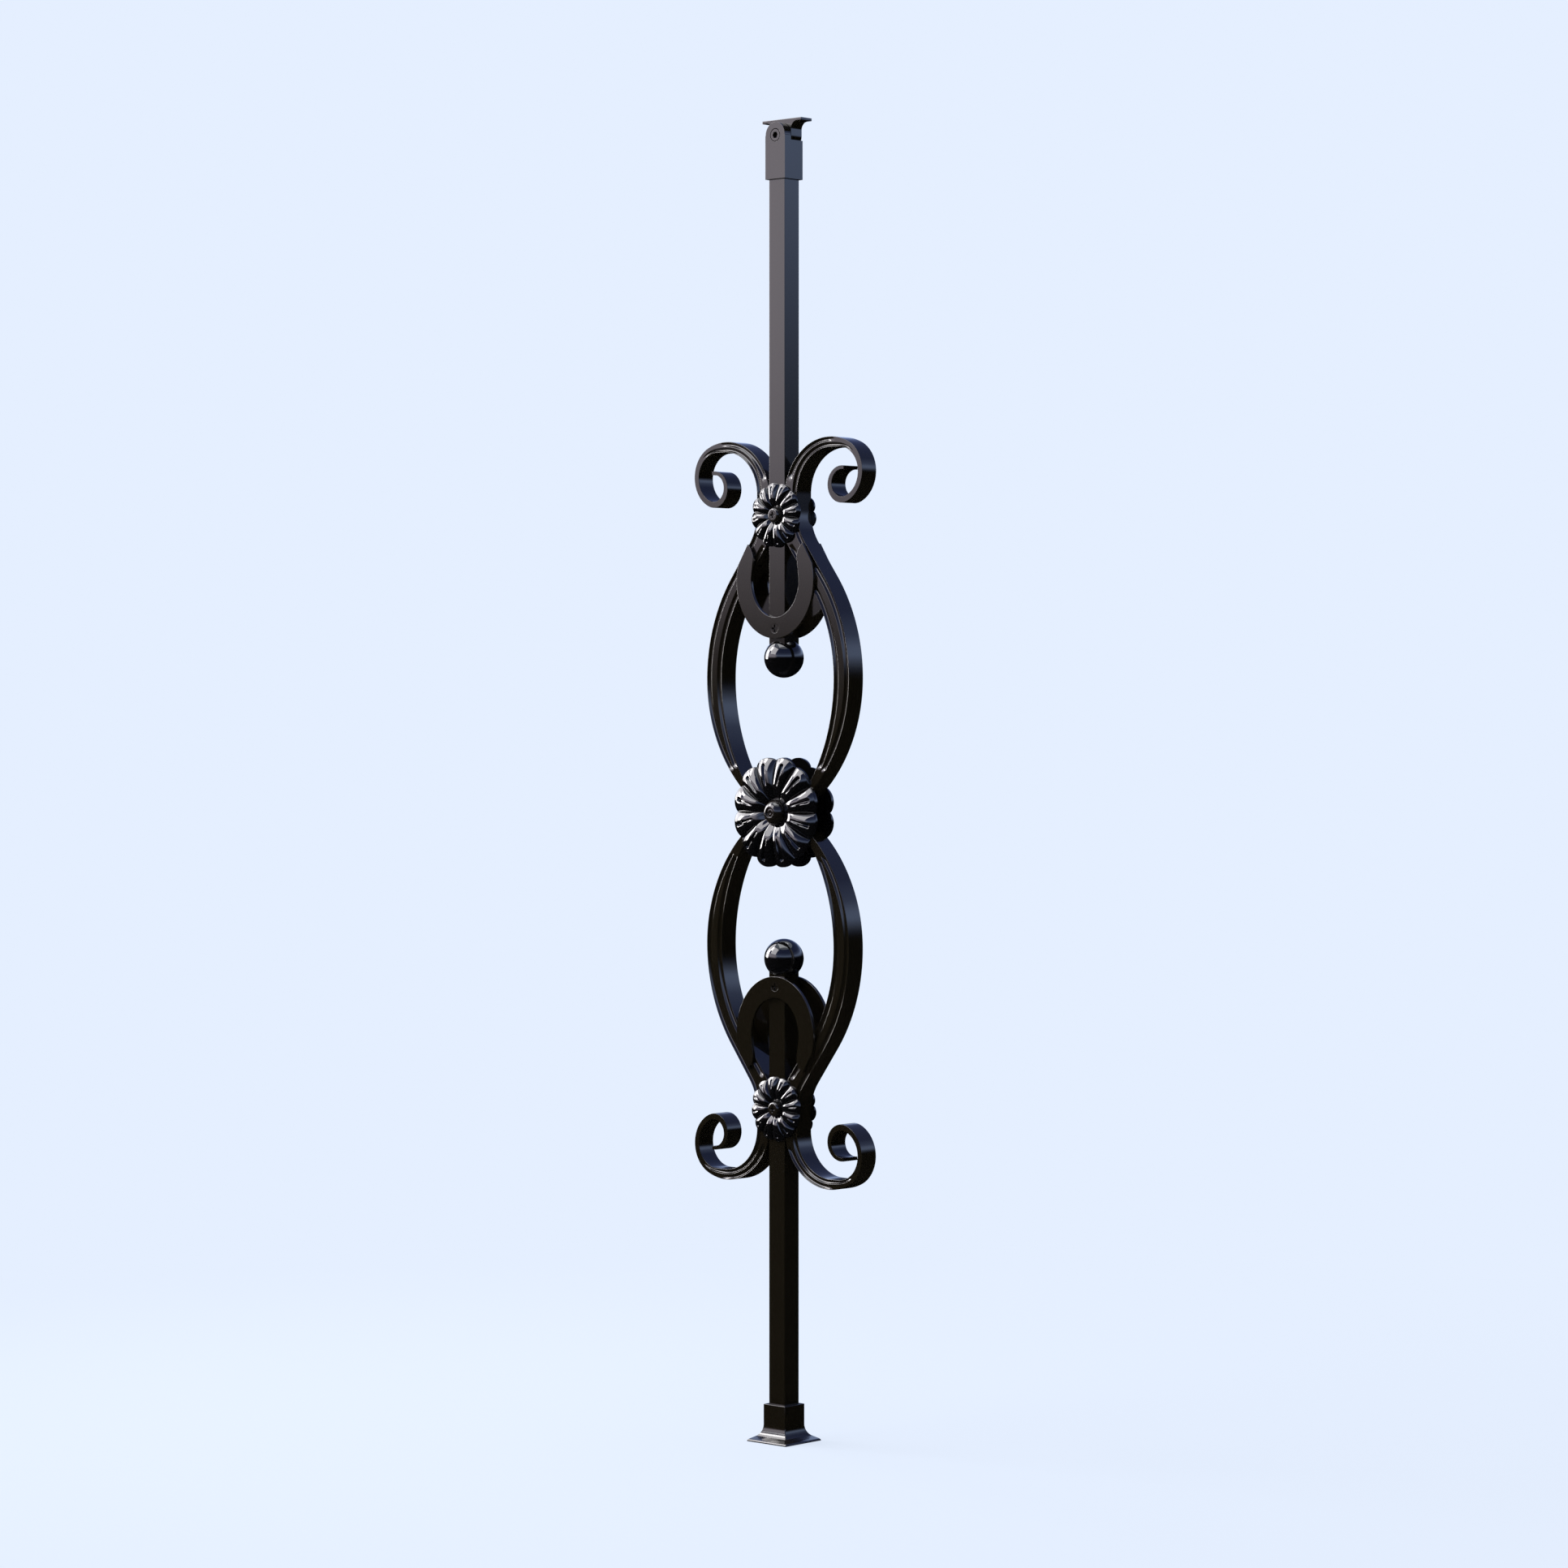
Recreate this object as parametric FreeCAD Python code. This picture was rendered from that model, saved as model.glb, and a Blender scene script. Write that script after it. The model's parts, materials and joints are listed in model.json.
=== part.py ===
import FreeCAD, Part
import math
import os

V = FreeCAD.Vector
ALONG_Y = V(0, 1, 0)
UP = V(0, 0, 1)

# Frame: Z up from the floor, X across the scrolls, the front faces -Y. Sizes in mm.

# Driving dimensions
BAR = 16.0                      # solid square bar, also the depth of the scroll bars
HALF = BAR / 2
RAIL_Z = 1000.0                 # top of the rail plate
CENTRE_Z = 477.1                # large rosettes, where the two scroll bars meet
SLIP = 0.1                      # gap a side where a square bar enters a socket
THREAD_GAP = 0.05               # radial gap round a screw shank
RUN_GAP = 0.05                  # radial running gap of the swivel pin
LAP_GAP = 0.4                   # between the swivel's moving faces

# Base shoe, a square ogee round the foot of the lower post
SHOE_SIDE = 40.0
SHOE_WALL = 3.0
SHOE_COLLAR = BAR + 2 * SHOE_WALL
SHOE_HEIGHT = 28.3
SHOE_LIP = 1.0
SHOE_COVE_REACH = 5.0           # from the collar out to where the hollow meets the round
SHOE_OVOLO_TOP = 4.3
SHOE_COVE_TOP = 13.0

# Balls on the inner ends of the posts
BALL_D = 30.0
BALL_SEAT = 3.0                 # from the ball's centre to the end of the bar in it
LOWER_BALL_DROP = 110.7         # from the centre height
UPPER_BALL_RISE = 116.7
LOWER_BALL_Z = CENTRE_Z - LOWER_BALL_DROP
UPPER_BALL_Z = CENTRE_Z + UPPER_BALL_RISE

# Scroll bars: tangent arcs and lines in the XZ plane, measured from the centre height
OVAL_HALF = 72.6                # widest outer line of an oval, from the middle
OVAL_WIDTH = 15.5               # breadth of the bar there
OVAL_INNER_HALF = OVAL_HALF - OVAL_WIDTH
OVAL_RISE = 101.2               # from the centre to the widest place
WAIST_HALF = 10.85              # outer line at the centre
CROTCH_Z = 6.45                 # where the two inner lines meet
INNER_FOOT_R = 50.0
INNER_FOOT_HEADING = 5.7        # degrees above level
INNER_HIGH_R = 116.0
INNER_HIGH_TURN = 37.0
OUTER_HIGH_R = 128.5
OUTER_HIGH_TURN = 36.4
NECK_R = 40.0
NECK_WIDTH = 12.5               # breadth beside the post
NECK_OUTER = HALF + NECK_WIDTH
NECK_RUN = 13.1                 # straight up beside the post
UNDER_R = 33.4                  # underside of the arch
ARCH_REACH = 44.5               # from the post to the top of the arch
ARCH_RISE = 38.3                # from where the arch leaves the post to its top
ARCH_THICK = 7.9                # breadth of the bar at the top
ARCH_PAST_TOP = 25.0            # degrees
LOOP_START = 9.7                # where the underside turns down, past the top
LOOP_TURN = 159.0               # heading at which the loop tightens, from level
LOOP_R = 24.3
LOOP_THICK = 5.3
LOOP_INNER_R = LOOP_R - LOOP_THICK
CURL_R = 13.9
CURL_THICK = 3.6
CURL_INNER_R = CURL_R - CURL_THICK
CURL_TURN = 210.0

# Moulding on the front and back of the scroll bars
FLUTE_WIDTH = 3.4
FLUTE_DEPTH = 1.2
FLUTE_RIM = 0.7
FLUTE_PROUD = 0.4               # how far a flute cutter stands out of the face
FLUTE_LINE = FLUTE_RIM + FLUTE_WIDTH / 2
FLUTE_OUTER_SKIP = 22.0         # degrees of plain pad beside the large rosette
FLUTE_INNER_SKIP = 3.0
FLUTE_LOOP_RUN = 30.0
FLUTE_NECK_STOP = 8.0
FLUTE_ARCH = (10.0, 70.0)       # degrees along the arch

# Horseshoe plates, each with its closed end just inside the end of a ball
SHOEPLATE_T = 2.6
SHOEPLATE_HALF = 39.2
SHOEPLATE_END = 43.7            # from the closed end to the widest place
SHOEPLATE_WEB = 16.0
SHOEPLATE_LEG = 14.9
SHOEPLATE_INNER_HALF = SHOEPLATE_HALF - SHOEPLATE_LEG
SHOEPLATE_INNER_PAST = 1.0      # the widest place inside lies so far past that outside
SHOEPLATE_INNER_END = SHOEPLATE_END + SHOEPLATE_INNER_PAST - SHOEPLATE_WEB
SHOEPLATE_SHOULDER = (1.4, 12.2)  # in from the widest place, and past it
SHOEPLATE_TIP = (11.2, 27.8)
SHOEPLATE_WAIST = (2.1, 15.8)   # in from the widest place inside, and past that outside
SHOEPLATE_BOW = (0.25, 1.8, -0.1)  # outer side, end of the tip, inner side
SHOEPLATE_SCREW = 7.6
LOWER_PLATE_TUCK = 1.7
UPPER_PLATE_TUCK = 0.3
LOWER_PLATE_Z = LOWER_BALL_Z - BALL_D / 2 + LOWER_PLATE_TUCK
UPPER_PLATE_Z = UPPER_BALL_Z + BALL_D / 2 - UPPER_PLATE_TUCK

# Rosettes
PETALS = 12
LARGE_ROSETTE_R = 42.2
LARGE_CREST = 7.0
LARGE_PETAL_AT = 15.0           # degrees from level
SMALL_ROSETTE_R = 24.5
SMALL_CREST = 4.4
SMALL_PETAL_AT = 8.0
SMALL_ROSETTE_DROP = 57.4       # from the top of the arch
HUB_PAST = 1.0                  # how far the hub goes on under the petals
SCALLOP = 0.06                  # valley depth at the rim, of the radius
# petal sections: radius of the section, crest height, valley height, each as a part of the whole
PETAL_SECTIONS = ((0.20, 0.24, 0.20), (0.34, 0.72, 0.60), (0.52, 1.00, 0.80),
                  (0.72, 0.95, 0.66), (0.90, 0.74, 0.40), (1.02, 0.30, 0.12))
PETAL_SEAT = PETAL_SECTIONS[0][1]

# Screws
SHANK_D = 4.0
SHANK_APART = 1.0               # from the end of a shank to the middle of the bar
SHANK_LENGTH = HALF - SHANK_APART
FLUSH_HEAD_D = 7.0
FLUSH_HEAD_T = 1.4
RECESS_SPAN = 0.62              # cross recess, of the tip's diameter
RECESS_WIDTH = 0.16
RECESS_DEEP = 0.7
SMALL_BOSS = (5.6, 3.1, 5.2)    # base radius, tip radius, tip height from the bar's face
LARGE_BOSS = (9.4, 4.0, 8.6)
LARGE_SHANK_D = 5.0

# Rail bracket, from the rail plate down to the sleeve on the upper post
SLEEVE_WALL = 2.0
SLEEVE = BAR + 2 * SLEEVE_WALL
SLEEVE_FLOOR = 4.9              # between the post's end and the seat of the swivel
SLEEVE_GRIP = 17.5              # length of post in the sleeve
PLATE_LENGTH = 39.6
PLATE_T = 2.2
PLATE_INSET = 0.6
PLATE_BACK = SLEEVE / 2 - PLATE_INSET
TOP = RAIL_Z - PLATE_T          # underside of the plate
LUG_EASE = 0.3
LUG_R = SLEEVE / 2 - LUG_EASE
LUG_T = 6.9
LUG_BACK = LUG_T - SLEEVE / 2   # back face of the sleeve's lug
LUG_OVER = 0.6                  # from the sleeve's lug to the plate above it
LUG_SHOULDER = 4.5              # height above the pin where the plate's flare starts
LUG_FLARE = 5.8                 # reach of the flare along the plate
PLATE_FRONT = LUG_BACK + LAP_GAP
PIN_Z = TOP - LUG_R - LUG_OVER
SEAT_GAP = 0.9
SEAT_R = LUG_R + SEAT_GAP
SLEEVE_SOCKET_TOP = PIN_Z - SEAT_R - SLEEVE_FLOOR
SLEEVE_BOTTOM = SLEEVE_SOCKET_TOP - SLEEVE_GRIP
PIN_D = 6.0
PIN_HEAD_D = 9.8
PIN_HEAD_T = 2.6
NUT_D = 9.0
NUT_T = 2.0
KEY_ACROSS = 4.0
KEY_DEEP = 1.8


class Trace:
    """Tangent arcs and lines in the XZ plane, drawn at a distance to the left of the course."""

    def __init__(self, x, z, heading, offset=0.0):
        self.x, self.z, self.heading, self.offset = x, z, heading, offset
        self.edges = []

    def place(self, x, z, heading):
        angle = math.radians(heading)
        return V(x - self.offset * math.sin(angle), 0, z + self.offset * math.cos(angle))

    def here(self):
        return self.place(self.x, self.z, self.heading)

    def ahead(self, length):
        start = self.here()
        self.x += length * math.cos(math.radians(self.heading))
        self.z += length * math.sin(math.radians(self.heading))
        self.edges.append(Part.makeLine(start, self.here()))
        return self

    def to_x(self, x, short=0.0):
        return self.ahead((x - self.x) / math.cos(math.radians(self.heading)) - short)

    def bend(self, radius, turn, keep=True):
        """Turn left by a positive angle and right by a negative one."""
        side = math.copysign(1.0, turn)
        start_heading = self.heading
        first = math.radians(start_heading)
        cx = self.x - side * radius * math.sin(first)
        cz = self.z + side * radius * math.cos(first)
        points = []
        for part in (0.0, 0.5, 1.0):
            heading = start_heading + turn * part
            angle = math.radians(heading)
            x = cx + side * radius * math.sin(angle)
            z = cz - side * radius * math.cos(angle)
            points.append(self.place(x, z, heading))
        self.x, self.z, self.heading = x, z, heading
        if keep:
            self.edges.append(Part.Arc(*points).toShape())
        return self

    def skip(self, radius, turn):
        return self.bend(radius, turn, keep=False)


def box(x0, x1, y0, y1, z0, z1):
    return Part.makeBox(x1 - x0, y1 - y0, z1 - z0, V(x0, y0, z0))


def rod_y(radius, y0, y1, x=0.0, z=0.0):
    return Part.makeCylinder(radius, y1 - y0, V(x, y0, z), ALONG_Y)


def mirrored(shape, normal, base=V(0, 0, 0)):
    return shape.mirror(base, normal)


def faced(shape, side, z):
    """Set a piece built on the plane z=0 with +Z outward on the front (-1) or back (1) face."""
    turned = shape.copy()
    turned.rotate(V(0, 0, 0), V(1, 0, 0), 90)
    if side > 0:
        turned.rotate(V(0, 0, 0), UP, 180)
    turned.translate(V(0, side * HALF, z))
    return turned


# Posts and their fittings

def base_shoe():
    half, collar = SHOE_SIDE / 2, SHOE_COLLAR / 2
    ov_x, ov_z = collar + SHOE_COVE_REACH, SHOE_OVOLO_TOP
    ov_mid = V(ov_x + (half - ov_x) * 0.75, 0, SHOE_LIP + (ov_z - SHOE_LIP) * 0.68)
    cove_mid = V(collar + (ov_x - collar) * 0.30, 0, ov_z + (SHOE_COVE_TOP - ov_z) * 0.32)
    side = [
        Part.makeLine(V(0, 0, 0), V(half, 0, 0)),
        Part.makeLine(V(half, 0, 0), V(half, 0, SHOE_LIP)),
        Part.Arc(V(half, 0, SHOE_LIP), ov_mid, V(ov_x, 0, ov_z)).toShape(),
        Part.Arc(V(ov_x, 0, ov_z), cove_mid, V(collar, 0, SHOE_COVE_TOP)).toShape(),
        Part.makeLine(V(collar, 0, SHOE_COVE_TOP), V(collar, 0, SHOE_HEIGHT)),
        Part.makeLine(V(collar, 0, SHOE_HEIGHT), V(0, 0, SHOE_HEIGHT)),
        Part.makeLine(V(0, 0, SHOE_HEIGHT), V(0, 0, 0)),
    ]
    right = Part.Face(Part.Wire(side)).extrude(V(0, SHOE_SIDE, 0))
    right.translate(V(0, -half, 0))
    across = right.fuse(mirrored(right, V(1, 0, 0))).removeSplitter()
    along = across.copy()
    along.rotate(V(0, 0, 0), UP, 90)
    inner = HALF + SLIP
    return across.common(along).cut(box(-inner, inner, -inner, inner, 0, SHOE_HEIGHT))


def post(z0, z1, screw_heights):
    bar = box(-HALF, HALF, -HALF, HALF, z0, z1)
    for z in screw_heights:
        bar = bar.cut(rod_y(SHANK_D / 2 + THREAD_GAP, -HALF, HALF, 0, z))
    return bar


def ball(z, bar_side):
    """A ball with a square socket; bar_side is -1 where the bar comes from below."""
    inner = HALF + SLIP
    seat = z + bar_side * BALL_SEAT
    mouth = z + bar_side * BALL_D
    socket = box(-inner, inner, -inner, inner, min(seat, mouth), max(seat, mouth))
    return Part.makeSphere(BALL_D / 2, V(0, 0, z)).cut(socket)


# Scroll bars

def arc_radius(along, across):
    """Radius of an arc that leads along and bends across by so much."""
    return (along ** 2 + across ** 2) / (2 * across)


def arc_turn(along, across):
    return math.degrees(2 * math.atan2(across, along))


# The outer line stands upright at the widest place, the arch is level at its top
OUTER_SPREAD = OVAL_HALF - WAIST_HALF
OUTER_LOW_R = arc_radius(OVAL_RISE, OUTER_SPREAD)
OUTER_LOW_TURN = arc_turn(OVAL_RISE, OUTER_SPREAD)
ARCH_R = arc_radius(ARCH_REACH, ARCH_RISE)
ARCH_START_TURN = arc_turn(ARCH_REACH, ARCH_RISE)

# The inner line's foot starts where the two bars meet; its arc runs on into the arc of the
# oval, whose radius comes from the two middles
INNER_ACROSS = OVAL_INNER_HALF + INNER_FOOT_R * math.sin(math.radians(INNER_FOOT_HEADING))
INNER_UP = OVAL_RISE - CROTCH_Z - INNER_FOOT_R * math.cos(math.radians(INNER_FOOT_HEADING))
INNER_LOW_R = ((INNER_ACROSS ** 2 + INNER_UP ** 2 - INNER_FOOT_R ** 2)
               / (2 * (INNER_ACROSS - INNER_FOOT_R)))
INNER_LOW_TURN = math.degrees(math.atan2(INNER_UP, INNER_LOW_R - INNER_ACROSS))
INNER_FOOT_TURN = 90 - INNER_LOW_TURN - INNER_FOOT_HEADING


def climb(line):
    """From the widest place up to where the outer line stands upright beside the post."""
    line.bend(OUTER_HIGH_R, OUTER_HIGH_TURN)
    line.to_x(NECK_OUTER + NECK_R * (1 - math.cos(math.radians(OUTER_HIGH_TURN))))
    return line.bend(NECK_R, -OUTER_HIGH_TURN)


NECK_TOP = climb(Trace(OVAL_HALF, OVAL_RISE, 90.0)).z
SCROLL_TOP = NECK_TOP + NECK_RUN + UNDER_R + ARCH_THICK
ARCH_FOOT = SCROLL_TOP - ARCH_RISE
SMALL_ROSETTE_RISE = SCROLL_TOP - SMALL_ROSETTE_DROP
UNDER_FLAT = HALF + ARCH_REACH + LOOP_START - NECK_OUTER - UNDER_R


def outer_line(offset=0.0, skip=0.0, loop=LOOP_TURN, curl=CURL_TURN):
    line = Trace(WAIST_HALF, 0.0, 90 - OUTER_LOW_TURN, offset)
    line.skip(OUTER_LOW_R, skip)
    line.bend(OUTER_LOW_R, OUTER_LOW_TURN - skip)
    climb(line)
    line.ahead(NECK_RUN)
    line.bend(UNDER_R, -90)
    line.ahead(UNDER_FLAT)
    line.bend(LOOP_INNER_R, -loop)
    if curl:
        line.bend(CURL_INNER_R, -curl)
    return line


def inner_line(offset=0.0, skip=0.0, short=0.0):
    line = Trace(0.0, CROTCH_Z, INNER_FOOT_HEADING, offset)
    if skip:
        line.skip(INNER_FOOT_R, INNER_FOOT_TURN).skip(INNER_LOW_R, skip)
    else:
        line.bend(INNER_FOOT_R, INNER_FOOT_TURN)
    line.bend(INNER_LOW_R, INNER_LOW_TURN - skip)
    line.bend(INNER_HIGH_R, INNER_HIGH_TURN)
    line.to_x(HALF, short)
    return line


def arch_line():
    line = Trace(HALF, ARCH_FOOT, ARCH_START_TURN)
    line.bend(ARCH_R, -ARCH_START_TURN - ARCH_PAST_TOP)
    line.bend(LOOP_R, -(LOOP_TURN - ARCH_PAST_TOP))
    line.bend(CURL_R, -CURL_TURN)
    return line


def arch_flute():
    first, last = FLUTE_ARCH
    line = Trace(HALF, ARCH_FOOT, ARCH_START_TURN, -FLUTE_LINE)
    return line.skip(ARCH_R, -first).bend(ARCH_R, first - last)


def flute_cutter(line):
    """A shallow round flute along a line, on the front face."""
    path = Part.Wire(line.edges)
    first = line.edges[0]
    start = first.valueAt(first.FirstParameter)
    ahead = first.tangentAt(first.FirstParameter)
    radius = (FLUTE_WIDTH ** 2 / 4 + FLUTE_DEPTH ** 2) / (2 * FLUTE_DEPTH)
    side = ahead.cross(ALONG_Y)
    face_y = V(0, -HALF, 0)
    deep = face_y + V(0, FLUTE_DEPTH, 0)
    proud = face_y - V(0, FLUTE_PROUD, 0)
    reach = math.sqrt(radius ** 2 - (radius - FLUTE_DEPTH - FLUTE_PROUD) ** 2)
    left = start + proud - side * reach
    right = start + proud + side * reach
    section = Part.Wire([Part.Arc(left, start + deep, right).toShape(), Part.makeLine(right, left)])
    sweep = Part.BRepOffsetAPI.MakePipeShell(path)
    sweep.setBiNormalMode(ALONG_Y)
    sweep.add(section)
    sweep.build()
    sweep.makeSolid()
    return sweep.shape()


def scroll_bar():
    """The right-hand bar, one length from the lower scroll to the upper one."""
    outer, inner, arch = outer_line(), inner_line(), arch_line()
    centre = V(0, 0, 0)
    edges = [Part.makeLine(centre, V(WAIST_HALF, 0, 0))]
    edges += outer.edges
    edges.append(Part.makeLine(outer.here(), arch.here()))
    edges += arch.edges
    edges.append(Part.makeLine(inner.here(), V(HALF, 0, ARCH_FOOT)))
    edges += inner.edges
    edges.append(Part.makeLine(V(0, 0, CROTCH_Z), centre))
    outline = Part.Wire(Part.__sortEdges__(edges))
    upper = Part.Face(outline).extrude(V(0, BAR, 0))
    upper.translate(V(0, -HALF, 0))
    lines = [
        outer_line(FLUTE_LINE, FLUTE_OUTER_SKIP, FLUTE_LOOP_RUN, 0),
        inner_line(-FLUTE_LINE, FLUTE_INNER_SKIP, FLUTE_NECK_STOP),
        arch_flute(),
    ]
    for line in lines:
        cutter = flute_cutter(line)
        upper = upper.cut(cutter).cut(mirrored(cutter, ALONG_Y))
    bar = upper.fuse(mirrored(upper, UP)).removeSplitter()
    bar = bar.cut(rod_y(LARGE_SHANK_D / 2 + THREAD_GAP, -HALF, HALF))
    bar.translate(V(0, 0, CENTRE_Z))
    return bar


# Horseshoe plates

def half_oval(half, depth, base):
    middle = V(0, base + depth, 0)
    return Part.Ellipse(middle + V(0, depth, 0), middle + V(half, 0, 0), middle)


def quarter(oval, start, end):
    first, last = oval.parameter(start), oval.parameter(end)
    return Part.Edge(oval, min(first, last), max(first, last))


def bowed(start, end, bow):
    """An arc from start to end that stands out by bow to the right of the way."""
    way = end - start
    out = V(way.y, -way.x, 0).normalize()
    return Part.Arc(start, (start + end) * 0.5 + out * bow, end).toShape()


def horseshoe():
    """Lying on z=0 with the closed end at the origin and the tips towards +Y."""
    bottom, web = V(0, 0, 0), V(0, SHOEPLATE_WEB, 0)
    side = V(SHOEPLATE_HALF, SHOEPLATE_END, 0)
    in_side = V(SHOEPLATE_INNER_HALF, SHOEPLATE_END + SHOEPLATE_INNER_PAST, 0)
    shoulder = side + V(-SHOEPLATE_SHOULDER[0], SHOEPLATE_SHOULDER[1], 0)
    tip = side + V(-SHOEPLATE_TIP[0], SHOEPLATE_TIP[1], 0)
    waist = V(SHOEPLATE_INNER_HALF - SHOEPLATE_WAIST[0], SHOEPLATE_END + SHOEPLATE_WAIST[1], 0)
    outer_bow, tip_bow, inner_bow = SHOEPLATE_BOW
    edges = [
        quarter(half_oval(SHOEPLATE_HALF, SHOEPLATE_END, 0), bottom, side),
        bowed(side, shoulder, outer_bow),
        Part.makeLine(shoulder, tip),
        bowed(tip, waist, tip_bow),
        bowed(waist, in_side, inner_bow),
        quarter(half_oval(SHOEPLATE_INNER_HALF, SHOEPLATE_INNER_END, SHOEPLATE_WEB), web, in_side),
        Part.makeLine(web, bottom),
    ]
    half = Part.Face(Part.Wire(Part.__sortEdges__(edges))).extrude(V(0, 0, SHOEPLATE_T))
    plate = half.fuse(mirrored(half, V(1, 0, 0))).removeSplitter()
    seat = SHOEPLATE_T - FLUSH_HEAD_T
    head = Part.makeCylinder(FLUSH_HEAD_D / 2 + THREAD_GAP, FLUSH_HEAD_T, V(0, SHOEPLATE_SCREW, seat))
    shank = Part.makeCylinder(SHANK_D / 2 + THREAD_GAP, SHOEPLATE_T, V(0, SHOEPLATE_SCREW, 0))
    return plate.cut(head.fuse(shank))


# Screws, each with its head's top facing +Z

def cross_recess(tip_d, top):
    long, wide = tip_d * RECESS_SPAN / 2, tip_d * RECESS_WIDTH / 2
    floor = top - RECESS_DEEP
    return box(-long, long, -wide, wide, floor, top).fuse(box(-wide, wide, -long, long, floor, top))


def flush_screw():
    seat = SHOEPLATE_T - FLUSH_HEAD_T
    head = Part.makeCylinder(FLUSH_HEAD_D / 2, FLUSH_HEAD_T, V(0, 0, seat))
    shank = Part.makeCylinder(SHANK_D / 2, SHANK_LENGTH + seat, V(0, 0, -SHANK_LENGTH))
    return head.fuse(shank).removeSplitter().cut(cross_recess(FLUSH_HEAD_D, SHOEPLATE_T))


def boss_screw(boss, seat, shank_d):
    """A domed screw whose base sits at the height seat above the bar's face."""
    base_r, tip_r, top = boss
    shank_r = shank_d / 2
    belly = V(base_r * 0.90, 0, seat + (top - seat) * 0.55)
    outline = [
        Part.makeLine(V(0, 0, -SHANK_LENGTH), V(shank_r, 0, -SHANK_LENGTH)),
        Part.makeLine(V(shank_r, 0, -SHANK_LENGTH), V(shank_r, 0, seat)),
        Part.makeLine(V(shank_r, 0, seat), V(base_r, 0, seat)),
        Part.Arc(V(base_r, 0, seat), belly, V(tip_r, 0, top)).toShape(),
        Part.makeLine(V(tip_r, 0, top), V(0, 0, top)),
        Part.makeLine(V(0, 0, top), V(0, 0, -SHANK_LENGTH)),
    ]
    screw = Part.Face(Part.Wire(outline)).revolve(V(0, 0, 0), UP, 360)
    return screw.cut(cross_recess(tip_r * 2, top))


# Rosettes, lying on z=0 with the petals up

def petal(radius, crest):
    """One lobe along +X, wider than its share; the wedge trims it."""
    spread = math.tan(math.radians(180.0 / PETALS)) * 1.15
    sections = []
    for at, high, low in PETAL_SECTIONS:
        x = radius * at
        wide = x * spread
        left, right = V(x, -wide, crest * low), V(x, wide, crest * low)
        ridge = Part.Arc(left, V(x, 0, crest * high), right).toShape()
        sections.append(Part.Wire([
            ridge,
            Part.makeLine(right, V(x, wide, 0)),
            Part.makeLine(V(x, wide, 0), V(x, -wide, 0)),
            Part.makeLine(V(x, -wide, 0), left),
        ]))
    return Part.makeLoft(sections, True, False)


def rosette(radius, crest, boss, shank_d, petal_at):
    hub_r = radius * PETAL_SECTIONS[0][0] + HUB_PAST
    seat = crest * PETAL_SEAT
    share = math.radians(180.0 / PETALS)
    valley = radius * (1 - SCALLOP)
    corner = V(valley * math.cos(share), valley * math.sin(share), 0)
    outline = Part.Wire([
        Part.makeLine(V(0, 0, 0), V(corner.x, -corner.y, 0)),
        Part.Arc(V(corner.x, -corner.y, 0), V(radius, 0, 0), corner).toShape(),
        Part.makeLine(corner, V(0, 0, 0)),
    ])
    wedge = Part.Face(outline).extrude(V(0, 0, crest))
    lobe = petal(radius, crest).common(wedge)
    lobes = []
    for index in range(PETALS):
        turned = lobe.copy()
        turned.rotate(V(0, 0, 0), UP, petal_at + index * 360.0 / PETALS)
        lobes.append(turned)
    hub = Part.makeCylinder(hub_r, seat)
    flower = hub.multiFuse(lobes)
    seat_hole = Part.makeCylinder(boss[0] + THREAD_GAP, crest, V(0, 0, seat))
    bore = Part.makeCylinder(shank_d / 2 + THREAD_GAP, crest)
    return flower.cut(seat_hole).cut(bore).removeSplitter()


# Rail bracket

def rail_sleeve():
    """A square sleeve with a lug in front and a round seat behind it."""
    half = SLEEVE / 2
    body = box(-half, half, -half, half, SLEEVE_BOTTOM, PIN_Z)
    body = body.cut(rod_y(SEAT_R, LUG_BACK, half, 0, PIN_Z))
    crown = rod_y(LUG_R, -half, LUG_BACK, 0, PIN_Z)
    ease = half - LUG_R
    corners = box(-half, half, -half, LUG_BACK, PIN_Z - ease, PIN_Z)
    body = body.cut(corners.cut(crown)).fuse(crown).removeSplitter()
    inner = HALF + SLIP
    body = body.cut(box(-inner, inner, -inner, inner, SLEEVE_BOTTOM, SLEEVE_SOCKET_TOP))
    body = body.cut(rod_y(PIN_D / 2 + THREAD_GAP, -half, LUG_BACK, 0, PIN_Z))
    return body.cut(rod_y(PIN_HEAD_D / 2 + THREAD_GAP, -half, -half + PIN_HEAD_T, 0, PIN_Z))


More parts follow.
